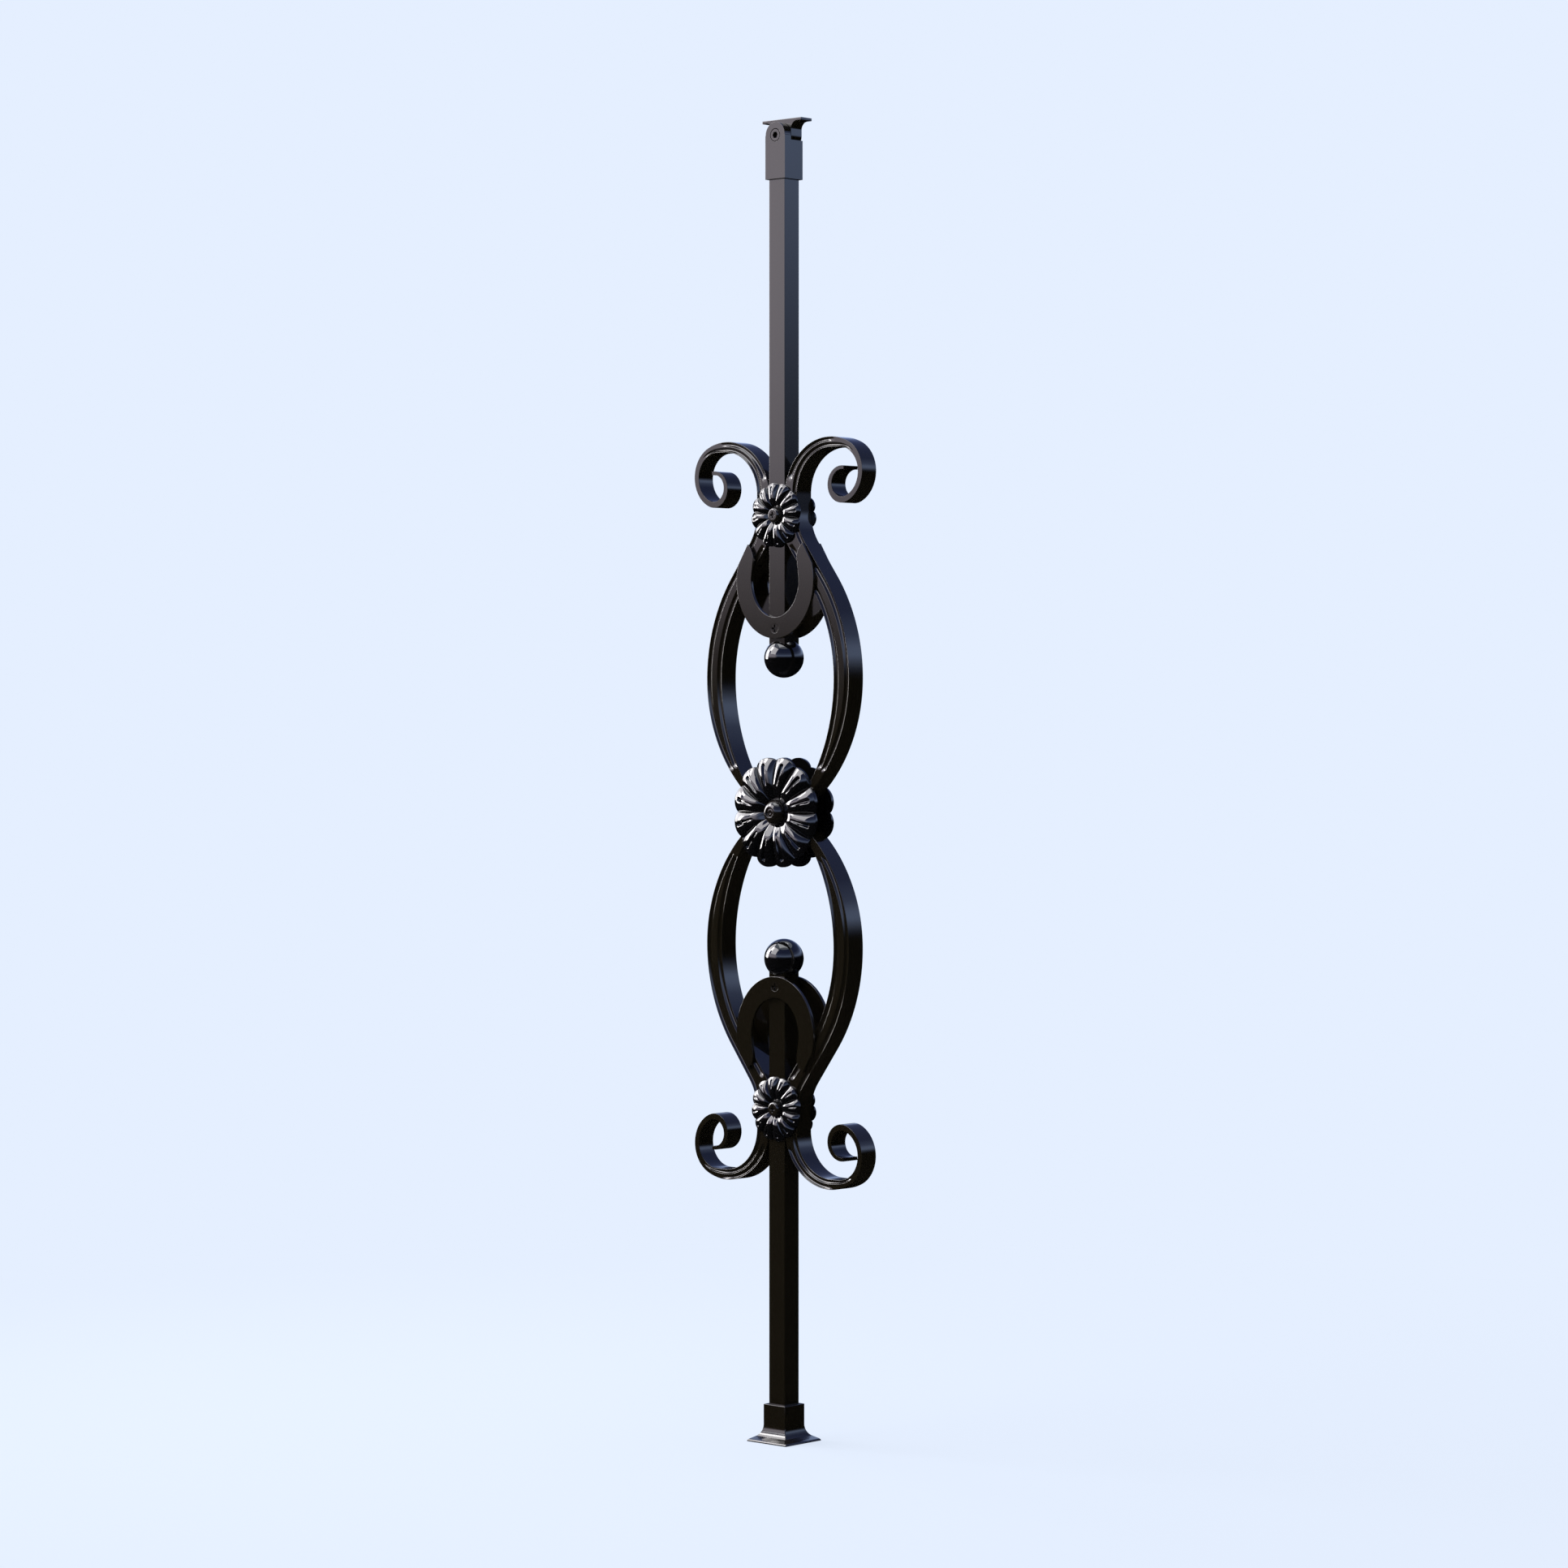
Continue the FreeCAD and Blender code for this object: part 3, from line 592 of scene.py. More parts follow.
@dataclass
class PivotScrew(DressedNodes):
    """The swivel's screw: a fine groove shows round its flush head, and its socket is deep.

    Sizes in mm.
    """

    axis_height: float = 987.5
    head_front: float = -10.0
    socket_floor: float = -8.2
    socket_reach: float = 2.5
    rim_reach: float = 4.8
    groove: float = 0.45
    socket_growth: float = 1.15
    socket_sink: float = 0.7

    def carve(self, obj: Object) -> None:
        """Cuts the groove and deepens the socket.

        Args:
            obj: The screw.
        """
        axis = Vector((0.0, 0.0, self.axis_height * MM))
        for point in obj.data.vertices:
            if point.co.y > (self.socket_floor + NEAR) * MM:
                continue
            out = (point.co - axis) * Vector((1.0, 0.0, 1.0))
            if out.length > self.rim_reach * MM and point.co.y < (self.head_front + NEAR) * MM:
                point.co -= out.normalized() * self.groove * MM
            elif out.length < self.socket_reach * MM:
                point.co += out * (self.socket_growth - 1)
                if point.co.y > (self.head_front + NEAR) * MM:
                    point.co.y += self.socket_sink * MM


@dataclass
class OgeeShoe:
    """The cast shoe at the foot: a square collar that sweeps out in a hollow to a small round.

    Sizes in mm, half of each side where it goes across.
    """

    foot: float = 20.0
    lip: float = 0.3
    round_reach: float = 11.1
    round_rise: float = 3.41
    round_from_deg: float = 62.0
    hollow_reach: float = 7.0
    hollow_drop: float = 9.9
    hollow_to_deg: float = 67.8
    collar: float = 11.0
    hollow_top: float = 13.0
    height: float = 28.3
    bore: float = 8.1
    steps: int = 14
    edge: float = 0.3

    def outline(self) -> list[tuple[float, float]]:
        """Draws the outline from the floor up over the round and the hollow, and down the bore.

        Returns:
            Half sides and heights.
        """
        points = [(self.foot, 0.0)]
        for turn in np.radians(np.linspace(90.0, self.round_from_deg, self.steps)):
            points.append((self.foot - self.round_reach * (1 - math.sin(turn)),
                           self.lip + self.round_rise * math.cos(turn)))
        for turn in np.radians(np.linspace(self.hollow_to_deg, 0.0, self.steps)):
            points.append((self.collar + self.hollow_reach * (1 - math.cos(turn)),
                           self.hollow_top - self.hollow_drop * math.sin(turn)))
        return points + [(self.collar, self.height), (self.bore, self.height), (self.bore, 0.0)]

    def build(self) -> None:
        """Makes the shoe as four mitred sides."""
        rows = [[(x * half * MM, y * half * MM, height * MM)
                 for x, y in ((-1, -1), (1, -1), (1, 1), (-1, 1))] for half, height in self.outline()]
        mesh = loft("base_shoe_cast", rows, ring=True)
        close_up(mesh, CAST_SHARP_DEG)
        mesh.materials.append(SATIN_PAINT.material())
        obj = new_object("base_shoe_cast", mesh)
        ease_edges(obj, self.edge, CAST_SHARP_DEG)
        hand_over(obj, Body.BALUSTER, SATIN_PAINT, ("base_shoe",))


class ShapeTree:
    """A geometry tree with named inputs that runs on an object's own mesh."""

    def __init__(self, name: str, **kinds: str) -> None:
        """Starts the tree with its inputs.

        Args:
            name: The tree's name.
            kinds: The kind of each named input after the geometry; underscores stand for spaces.
        """
        self.tree = bpy.data.node_groups.new(name, "GeometryNodeTree")
        face = self.tree.interface
        for way in ("INPUT", "OUTPUT"):
            face.new_socket("Geometry", in_out=way, socket_type="NodeSocketGeometry")
        self.sockets = {label: face.new_socket(label.replace("_", " "), in_out="INPUT",
                                               socket_type="NodeSocket" + kind).identifier
                        for label, kind in kinds.items()}
        self.given = self.add("NodeGroupInput").outputs
        self.index = self.add("GeometryNodeInputIndex").outputs[0]

    def add(self, kind: str, inputs: Optional[dict[Any, Any]] = None, **settings: Any) -> Node:
        """Adds a node to the tree."""
        return add_node(self.tree, kind, inputs, **settings)

    def calc(self, operation: str, *values: Any) -> NodeSocket:
        """Adds a node that reckons with numbers or outputs, and gives its result."""
        return calc(self.tree, operation, *values)

    def stack(self, count: Any) -> NodeSocket:
        """Adds so many points, all at the origin, and gives them."""
        return self.add("GeometryNodeMeshLine", {"Count": count, "Offset": (0.0, 0.0, 0.0)},
                        mode="OFFSET").outputs["Mesh"]

    def repeat(self, points: NodeSocket, turn: NodeSocket, merge: float) -> None:
        """Sets the object's mesh on points, each turned about the upright, and ends the tree.

        Args:
            points: The points.
            turn: The turn at each.
            merge: Distance within which points are joined, in metres.
        """
        spin = self.add("ShaderNodeCombineXYZ", {"Z": turn}).outputs[0]
        copies = self.add("GeometryNodeInstanceOnPoints", {
            "Points": points, "Instance": self.given["Geometry"], "Rotation": spin})
        self.end(copies.outputs[0], merge)

    def end(self, shape: NodeSocket, merge: float) -> None:
        """Ends the tree with real, joined, painted geometry.

        Args:
            shape: The geometry so far.
            merge: Distance within which points are joined, in metres.
        """
        real = self.add("GeometryNodeRealizeInstances", {0: shape})
        joined = self.add("GeometryNodeMergeByDistance", {
            "Geometry": real.outputs[0], "Distance": merge})
        dressed = self.add("GeometryNodeSetMaterial", {
            "Geometry": joined.outputs[0], "Material": self.given["Paint"]})
        self.add("NodeGroupOutput", {0: dressed.outputs[0]})

    def run(self, obj: Object, **values: Any) -> None:
        """Runs the tree on an object and keeps the result as its plain mesh.

        Args:
            obj: The object.
            values: A value for each input.
        """
        modifier = obj.modifiers.new(self.tree.name, "NODES")
        modifier.node_group = self.tree
        for name, value in values.items():
            modifier[self.sockets[name]] = value
        plain_mesh(obj)


class PetalRing(ShapeTree):
    """The node tree that repeats one petal round a flower."""

    def __init__(self) -> None:
        """Builds the tree, with named inputs for the count, the first turn and the paint."""
        super().__init__("petal_ring", Petals="Int", First_turn="Float", Paint="Material")
        petals = self.given["Petals"]
        share = self.calc("DIVIDE", math.tau, petals)
        turn = self.calc("MULTIPLY_ADD", self.index, share, self.given["First turn"])
        self.repeat(self.stack(petals), turn, merge=4e-6)


def smooth(low: float, high: float, value: np.ndarray) -> np.ndarray:
    """Eases from 0 at low to 1 at high."""
    t = np.clip((value - low) / (high - low), 0, 1)
    return t * t * (3 - 2 * t)


def on_face(face: Face, height_mm: float) -> Matrix:
    """Gives the place of a piece, built on z=0 with +Z outward, on a face of the bars.

    Args:
        face: The front or the rear.
        height_mm: Height of its middle.

    Returns:
        The transform.
    """
    lifted = Matrix.Translation((0, 0, height_mm * MM)) @ Matrix.Rotation(face.value, 4, "Z")
    return lifted @ Matrix.Translation((0, -BAR_FACE * MM, 0)) @ Matrix.Rotation(math.pi / 2, 4, "X")


@dataclass
class Rosette:
    """A cast flower of petals, each a swelling lobe with a drop-shaped hollow.

    Sizes in mm; shares are of the radius across the face and of the crest in height.
    """

    node: str
    face: Face
    height: float
    radius: float
    crest: float
    seat_radius: float
    bore_radius: float
    first_turn_deg: float
    across: int
    hollow_depth: float
    hollow_start: float
    hollow_end: float = 0.86
    hollow_wide: tuple[float, float] = (0.022, 0.028)  # at its start, and added by its end
    hollow_powers: tuple[float, float] = (0.75, 1.3)  # along it and across it
    petals: int = 12
    hub_share: float = 0.2
    seat_share: float = 0.24
    crest_at: float = 0.55
    rim_share: float = 0.36
    rim_power: float = 1.7
    rim_least: float = 0.2
    valley: tuple[float, float] = (0.80, 0.52)  # of the ridge at the hub, and lost by the rim
    valley_run: tuple[float, float] = (0.25, 0.92)
    lobe_powers: tuple[float, float] = (2.2, 0.6)
    scallop: float = 0.064
    fillet: float = 0.016
    start_share: float = 0.96  # of the seat's radius, where the petal starts
    along: int = 50

    def ridge(self, rho: np.ndarray) -> np.ndarray:
        """Gives the height of a petal's crest line, of the crest, by its share of the radius."""
        inner = np.clip((rho - self.hub_share) / (self.crest_at - self.hub_share), 0, 1)
        outer = np.clip((rho - self.crest_at) / (1 - self.crest_at), 0, 1)
        rise = self.seat_share + (1 - self.seat_share) * np.sin(inner * math.pi / 2)
        fall = self.rim_share + (1 - self.rim_share) * np.cos(outer ** self.rim_power * math.pi / 2)
        return np.where(rho < self.crest_at, rise, fall)

    def surface(self, radius: np.ndarray, turn: np.ndarray, rim: np.ndarray) -> np.ndarray:
        """Gives the height of the petal's upper face.

        Args:
            radius: Distance from the flower's middle.
            turn: Turn from the petal's middle, in radians.
            rim: The rim's distance at that turn.

        Returns:
            The height over the bar's face.
        """
        share = turn / (math.pi / self.petals)
        rho = radius / rim
        ridge = self.crest * self.ridge(rho)
        valley = ridge * (self.valley[0] - self.valley[1] * smooth(*self.valley_run, rho))
        bow, swell = self.lobe_powers
        lobe = np.clip(1 - np.abs(share) ** bow, 0, 1) ** swell
        height = valley + (ridge - valley) * lobe
        start, end = self.hollow_start, self.hollow_end
        way = np.clip((rho - start) / (end - start), 0, 1)
        wide = self.radius * (self.hollow_wide[0] + self.hollow_wide[1] * way)
        past = np.maximum(rho - end, 0) * self.radius
        off = np.hypot(radius * np.sin(turn), past) / wide
        along, across = self.hollow_powers
        hollow = np.clip(1 - off ** 2, 0, 1) ** across
        height = height - self.hollow_depth * way ** along * hollow
        return np.where(radius < self.seat_radius, np.minimum(height, self.seat_share * self.crest),
                        height)

    def petal(self) -> Mesh:
        """Builds one petal as a closed slice, its outline running out over the top and back below.

        Returns:
            The petal's mesh, lying on z=0 along +X, in metres.
        """
        half = math.pi / self.petals
        turns = np.linspace(-half, half, self.across + 1)
        rim = self.radius * (1 - self.scallop * (turns / half) ** 2)
        fillet = self.fillet * self.radius
        bore, floor = np.full_like(turns, self.bore_radius), np.zeros_like(turns)
        start = self.seat_radius * self.start_share
        rows = [(bore, floor + self.seat_share * self.crest)]
        for q in np.linspace(0, 1, self.along):
            radius = start + (rim - fillet - start) * q
            rows.append((radius, self.surface(radius, turns, rim)))
        top = rows[-1][1]
        rows.append((rim - EDGE_MIDDLE * fillet, top - EDGE_MIDDLE * fillet))
        rows.append((rim, np.maximum(top - fillet, self.rim_least)))
        rows += [(rim, floor), (bore, floor)]
        return loft(self.node + "_petal", [
            [(r * math.cos(a) * MM, r * math.sin(a) * MM, z * MM)
             for r, a, z in zip(radius, turns, height)] for radius, height in rows])

    def build(self, ring: PetalRing) -> None:
        """Makes the flower and sets it on its face of the bars.

        Args:
            ring: The tree that repeats the petal.
        """
        obj = new_object(self.node + "_cast", self.petal())
        ring.run(obj, Petals=self.petals, First_turn=math.radians(self.first_turn_deg),
                 Paint=GLOSS_PAINT.material())
        obj.data.transform(on_face(self.face, self.height))
        close_up(obj.data, CAST_SHARP_DEG)
        hand_over(obj, Body.BALUSTER, GLOSS_PAINT, (self.node,))


@dataclass
class Flowers:
    """The six flowers: a large pair at the centre and small pairs at the necks."""

    small_rise: float = 224.27

    def build(self, ring: PetalRing) -> None:
        """Makes each flower.

        Args:
            ring: The tree that repeats a petal.
        """
        for face in Face:
            Rosette("large_rosette_" + face.node_suffix, face, CENTRE_HEIGHT, radius=42.2, crest=7.0,
                    seat_radius=9.4, bore_radius=2.55, first_turn_deg=15.0, across=40,
                    hollow_depth=2.5, hollow_start=0.48).build(ring)
            for level, way in (("lower_", -1), ("upper_", 1)):
                Rosette(level + "rosette_" + face.node_suffix, face,
                        CENTRE_HEIGHT + way * self.small_rise, radius=24.5, crest=4.4,
                        seat_radius=5.6, bore_radius=2.05, first_turn_deg=8.0, across=28,
                        hollow_depth=1.0, hollow_start=0.62).build(ring)


class FacePairs(ShapeTree):
    """The node tree that sets a piece on the front and, turned about, on the rear, at each level."""

    def __init__(self) -> None:
        """Builds the tree, with named inputs for the levels, their heights and the faces."""
        super().__init__("face_pairs", Levels="Int", First_height="Float", Rise="Float",
                         Face_distance="Float", Paint="Material")
        levels = self.given["Levels"]
        level = self.calc("MODULO", self.index, levels)
        rear = self.calc("FLOOR", self.calc("DIVIDE", self.index, levels))
        side = self.calc("MULTIPLY_ADD", rear, 2.0, -1.0)
        place = self.add("ShaderNodeCombineXYZ", {
            "Y": self.calc("MULTIPLY", side, self.given["Face distance"]),
            "Z": self.calc("MULTIPLY_ADD", level, self.given["Rise"], self.given["First height"])})
        points = self.add("GeometryNodeSetPosition", {
            "Geometry": self.stack(self.calc("MULTIPLY", levels, 2.0)),
            "Position": place.outputs[0]})
        self.repeat(points.outputs["Geometry"], self.calc("MULTIPLY", rear, math.pi), merge=1e-7)


@dataclass
class Screws:
    """One kind of screw, at its place on both faces and each level. Sizes in mm."""

    name: str
    template: str
    nodes: tuple[str, ...]
    levels: int
    first_height: float
    rise: float
    edge: float
    tip_radius: float = 0.0
    built_tip_radius: float = 1.0
    base_height: float = 0.0
    tip_height: float = 1.0
    recess_floor: float = 0.0
    recess_sink: float = 0.0
    recess_reach: float = 0.0
    recess_growth: float = 1.0

    def head(self, frame: dict[str, Any]) -> Object:
        """Gives the front screw, moved to the origin.

        Args:
            frame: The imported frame.

        Returns:
            Its object, with the bar's face on y=0.
        """
        obj = merged_copy(frame["nodes"][self.template], self.name)
        places = np.array([tuple(point.co) for point in obj.data.vertices])
        places += np.array((0.0, BAR_FACE, -self.first_height)) * MM
        floor = np.abs(-places[:, 1] - self.recess_floor * MM) < NEAR * MM
        places[floor, 1] += self.recess_sink * MM
        recess = floor | (-places[:, 1] > self.recess_floor * MM)
        recess &= np.hypot(places[:, 0], places[:, 2]) < self.recess_reach * MM
        places[np.ix_(recess, (0, 2))] *= self.recess_growth
        if self.tip_radius:
            way = smooth(self.base_height * MM, self.tip_height * MM, -places[:, 1])
            grow = 1 + (self.tip_radius / self.built_tip_radius - 1) * way
            places[:, [0, 2]] *= grow[:, None]
        obj.data.vertices.foreach_set("co", places.ravel())
        return obj

    def build(self, frame: dict[str, Any], pairs: FacePairs) -> None:
        """Makes the screws.

        Args:
            frame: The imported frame.
            pairs: The tree that sets a piece on both faces.
        """
        obj = self.head(frame)
        ease_edges(obj, self.edge)
        pairs.run(obj, Levels=self.levels, First_height=self.first_height * MM,
                  Rise=self.rise * MM, Face_distance=BAR_FACE * MM, Paint=SCREW_PAINT.material())
        hand_over(obj, Body.BALUSTER, SCREW_PAINT, self.nodes)


@dataclass
class BossScrews(Screws):
    """Domed screws with a round well in the tip, where the driven end lies. Sizes in mm."""

    outline: tuple[tuple[float, float], ...] = ()
    segments: int = 72

    def head(self, frame: dict[str, Any]) -> Object:
        """Turns the screw from its outline of radius and height over the bar's face.

        Args:
            frame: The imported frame, which this screw doesn't need.

        Returns:
            Its object, with the bar's face on y=0.
        """
        turns = [math.tau * k / self.segments for k in range(self.segments)]
        mesh = loft(self.name, [[(r * math.cos(turn) * MM, -h * MM, r * math.sin(turn) * MM)
                                 for r, h in self.outline] for turn in turns])
        work = bmesh.new()
        work.from_mesh(mesh)
        bmesh.ops.remove_doubles(work, verts=work.verts, dist=1e-7)
        bmesh.ops.recalc_face_normals(work, faces=work.faces)
        work.to_mesh(mesh)
        work.free()
        return new_object(self.name, mesh)


@dataclass
class Stroke:
    """A line of tangent arcs in the plane of the scrolls, walked in mm."""

    x: float
    z: float
    heading: float
    step: float = 0.5

    def __post_init__(self) -> None:
        """Starts the walk at the first point."""
        self.points = [(self.x, self.z)]
        self.marks = [0.0]
        self.length = 0.0

    def ahead(self, length: float) -> "Stroke":
        """Walks straight on by a length."""
        return self.walk(length, 0.0)

    def bend(self, radius: float, turn_deg: float) -> "Stroke":
        """Walks an arc, left for a positive turn and right for a negative one."""
        return self.walk(radius * math.radians(abs(turn_deg)), turn_deg)

    def walk(self, length: float, turn_deg: float) -> "Stroke":
        """Walks on while turning evenly.

        Args:
            length: The way to go.
            turn_deg: The turn over that way.

        Returns:
            The stroke itself.
        """
        count = max(2, math.ceil(length / self.step))
        turn = math.radians(turn_deg) / count
        chord = length / count * (math.sin(turn / 2) / (turn / 2) if turn else 1.0)
        heading = math.radians(self.heading)
        for _ in range(count):
            self.x += chord * math.cos(heading + turn / 2)
            self.z += chord * math.sin(heading + turn / 2)
            heading += turn
            self.points.append((self.x, self.z))
        self.heading += turn_deg
        self.length += length
        self.marks.append(self.length)
        return self

    def at(self, along: np.ndarray) -> np.ndarray:
        """Gives points at lengths along the stroke.

        Args:
            along: The lengths.

        Returns:
            An array of x and z.
        """
        points = np.array(self.points)
        steps = np.hypot(*np.diff(points, axis=0).T)
        way = np.concatenate([[0.0], np.cumsum(steps)])
        way *= self.length / way[-1]
        return np.stack([np.interp(along, way, points[:, k]) for k in (0, 1)], axis=1)


class MouldedBar(ShapeTree):
    """The node tree that lays a moulded section between an outer and an inner guide line.

    The object's own mesh is a ladder: each rung's first point is on the outer line and its second
    on the inner one, and carries how deep the flute beside it runs there.
    """

    half_room = 0.49  # of the bar's breadth, for the moulding beside each line

    def sample(self, shape: NodeSocket, at: NodeSocket, name: str = "") -> NodeSocket:
        """Reads a guide's point.

        Args:
            shape: The guide.
            at: The point's number.
            name: The value to read, or none to read its place.

        Returns:
            What the point carries.
        """
        kind = "FLOAT" if name else "FLOAT_VECTOR"
        if name:
            value = self.add("GeometryNodeInputNamedAttribute", {"Name": name}, data_type=kind)
        else:
            value = self.add("GeometryNodeInputPosition")
        return self.add("GeometryNodeSampleIndex", {
            "Geometry": shape, "Value": value.outputs[0], "Index": at}, data_type=kind).outputs[0]

    def mix(self, share: Any, low: Any, high: Any) -> NodeSocket:
        """Adds a node that goes from one number to another by a share, and gives its result."""
        return self.add("ShaderNodeMix", {0: share, 2: low, 3: high}, data_type="FLOAT").outputs[0]

    def vector(self, operation: str, inputs: dict[Any, Any], output: Any = 0) -> NodeSocket:
        """Adds a node that reckons with vectors, and gives its result."""
        return self.add("ShaderNodeVectorMath", inputs, operation=operation).outputs[output]

    def __init__(self) -> None:
        """Builds the tree, with named inputs for the section and the numbers of points."""
        super().__init__("moulded_bar", Section="Object", Section_points="Int", Rungs="Int",
                         Flute_depth="Float", Half_moulding="Float", Paint="Material")
        given, reckon, ladder = self.given, self.calc, self.given["Geometry"]
        loop = reckon("ADD", given["Section points"], 1.0)
        strip = self.add("GeometryNodeMeshGrid", {"Vertices X": given["Rungs"], "Vertices Y": loop})
        rung = reckon("FLOOR", reckon("DIVIDE", self.index, loop))
        around = reckon("MODULO", reckon("MODULO", self.index, loop), given["Section points"])
        on_outer = reckon("MULTIPLY", rung, 2.0)
        on_inner = reckon("ADD", on_outer, 1.0)
        section = self.add("GeometryNodeObjectInfo", {"Object": given["Section"]},
                           transform_space="ORIGINAL").outputs["Geometry"]
        outer, inner = self.sample(ladder, on_outer), self.sample(ladder, on_inner)
        shut = self.sample(ladder, on_outer, "closing")
        from_inner = self.sample(section, around, "inner_side")
        spot = self.add("ShaderNodeSeparateXYZ", {0: self.sample(section, around)}).outputs
        way = self.vector("SUBTRACT", {0: inner, 1: outer})
        breadth = self.vector("LENGTH", {0: way}, "Value")
        room = reckon("MULTIPLY", breadth, self.half_room)
        squeeze = reckon("MINIMUM", reckon("DIVIDE", room, given["Half moulding"]), 1.0)
        share = reckon("DIVIDE", reckon("MULTIPLY", spot["X"], squeeze), breadth)
        across = self.mix(from_inner, share, reckon("SUBTRACT", 1.0, share))
        spread = self.vector("SCALE", {0: way, "Scale": self.mix(shut, across, 0.5)})
        flute = self.mix(from_inner, self.sample(ladder, on_outer, "flute"),
                         self.sample(ladder, on_inner, "flute"))
        sink = reckon("MULTIPLY", self.sample(section, around, "dip"), flute)
        sunk = reckon("MULTIPLY_ADD", sink, given["Flute depth"], spot["Y"])
        lift = self.add("ShaderNodeCombineXYZ", {"Y": self.mix(shut, sunk, 0.0)}).outputs[0]
        along = self.vector("ADD", {0: outer, 1: spread})
        shaped = self.add("GeometryNodeSetPosition", {
            "Geometry": strip.outputs["Mesh"], "Position": self.vector("ADD", {0: along, 1: lift})})
        self.end(shaped.outputs["Geometry"], merge=2e-6)


def fade(span: tuple[float, float], mark: float, along: np.ndarray) -> np.ndarray:
    """Eases from 0 to 1 over a span that is measured from a mark."""
    return smooth(mark + span[0], mark + span[1], along)


@dataclass
class ScrollBars:
    """The two scroll bars, each bent in one length from the lower curl to the upper one.

    Sizes in mm, measured from the middle of the baluster and from the height of its centre.
    """

    half_depth: float = 8.0
    waist_half: float = 10.85
    crotch: float = 6.45
    oval_half: float = 72.6
    oval_width: float = 15.5
    oval_rise: float = 101.2
    inner_foot_radius: float = 50.0
    inner_foot_heading: float = 5.7
    inner_high: tuple[float, float] = (116.0, 37.0)
    outer_high: tuple[float, float] = (128.5, 36.4)
    neck_radius: float = 40.0
    neck_width: float = 12.5
    neck_run: float = 13.1
    under_radius: float = 33.4
    arch_reach: float = 44.5
    arch_rise: float = 38.3
    arch_thick: float = 7.9
    arch_past_top: float = 25.0
    loop_start: float = 9.7
    loop_turn: float = 159.0
    loop_radius: float = 24.28
    loop_thick: float = 5.3
    curl_radius: float = 13.9
    curl_thick: float = 3.6
    curl_turn: float = 210.0
    flute_width: float = 4.2
    flute_depth: float = 1.3
    flute_rim: float = 0.6
    flute_lip: float = 0.06
    flute_land: float = 0.4  # flat past a flute
    flute_shares: tuple[float, ...] = (0.17, 0.28, 0.39)  # points across half of it
    # where flutes fade in and out: from the waist, the arch's flat, the foot of the inner line,
    # the post, the arch's foot and the arch's top
    outer_in: tuple[float, float] = (50.0, 53.0)
    outer_out: tuple[float, float] = (4.0, 14.0)
    inner_in: tuple[float, float] = (3.0, 6.0)
    inner_out: tuple[float, float] = (-11.0, -6.0)
    arch_in: tuple[float, float] = (9.0, 13.0)
    arch_out: tuple[float, float] = (-6.0, 4.0)
    arch_top_at: float = 0.785  # of the arch's length
    neck_at: float = 0.35  # of the neck's length, level with the post's start
    edge: float = 0.3
    rung_gap: float = 1.3
    sharp_deg: float = 60.0

    def outer(self) -> Stroke:
        """Walks the outer line of a half bar, from the waist to the end of the curl."""
        spread = self.oval_half - self.waist_half
        turn = math.degrees(2 * math.atan2(spread, self.oval_rise))
        line = Stroke(self.waist_half, 0.0, 90 - turn)
        line.bend((self.oval_rise ** 2 + spread ** 2) / (2 * spread), turn)
        line.bend(*self.outer_high)
        neck = self.half_depth + self.neck_width
        lean = math.radians(self.outer_high[1])
        reach = neck + self.neck_radius * (1 - math.cos(lean)) - line.x
        line.ahead(reach / math.cos(math.radians(line.heading)))
        line.bend(self.neck_radius, -self.outer_high[1])
        line.ahead(self.neck_run)
        line.bend(self.under_radius, -90.0)
        line.ahead(self.half_depth + self.arch_reach + self.loop_start - neck - self.under_radius)
        line.bend(self.loop_radius - self.loop_thick, -self.loop_turn)
        return line.bend(self.curl_radius - self.curl_thick, -self.curl_turn)

    def inner(self, scroll_top: float) -> Stroke:
        """Walks the inner line, up beside the post and over the arch.

        Args:
            scroll_top: Height of the arch's top.

        Returns:
            The line.
        """
        foot = math.radians(self.inner_foot_heading)
        across = self.oval_half - self.oval_width + self.inner_foot_radius * math.sin(foot)
        up = self.oval_rise - self.crotch - self.inner_foot_radius * math.cos(foot)
        radius = ((across ** 2 + up ** 2 - self.inner_foot_radius ** 2)
                  / (2 * (across - self.inner_foot_radius)))
        turn = math.degrees(math.atan2(up, radius - across))
        line = Stroke(0.0, self.crotch, self.inner_foot_heading)
        line.bend(self.inner_foot_radius, 90 - turn - self.inner_foot_heading)
        line.bend(radius, turn)
        line.bend(*self.inner_high)
        line.ahead((self.half_depth - line.x) / math.cos(math.radians(line.heading)))
        line.heading = 90.0
        line.ahead(scroll_top - self.arch_rise - line.z)
        turn = math.degrees(2 * math.atan2(self.arch_rise, self.arch_reach))
        line.heading = turn
        line.bend((self.arch_reach ** 2 + self.arch_rise ** 2) / (2 * self.arch_rise),
                  -turn - self.arch_past_top)
        line.bend(self.loop_radius, self.arch_past_top - self.loop_turn)
        return line.bend(self.curl_radius, -self.curl_turn)

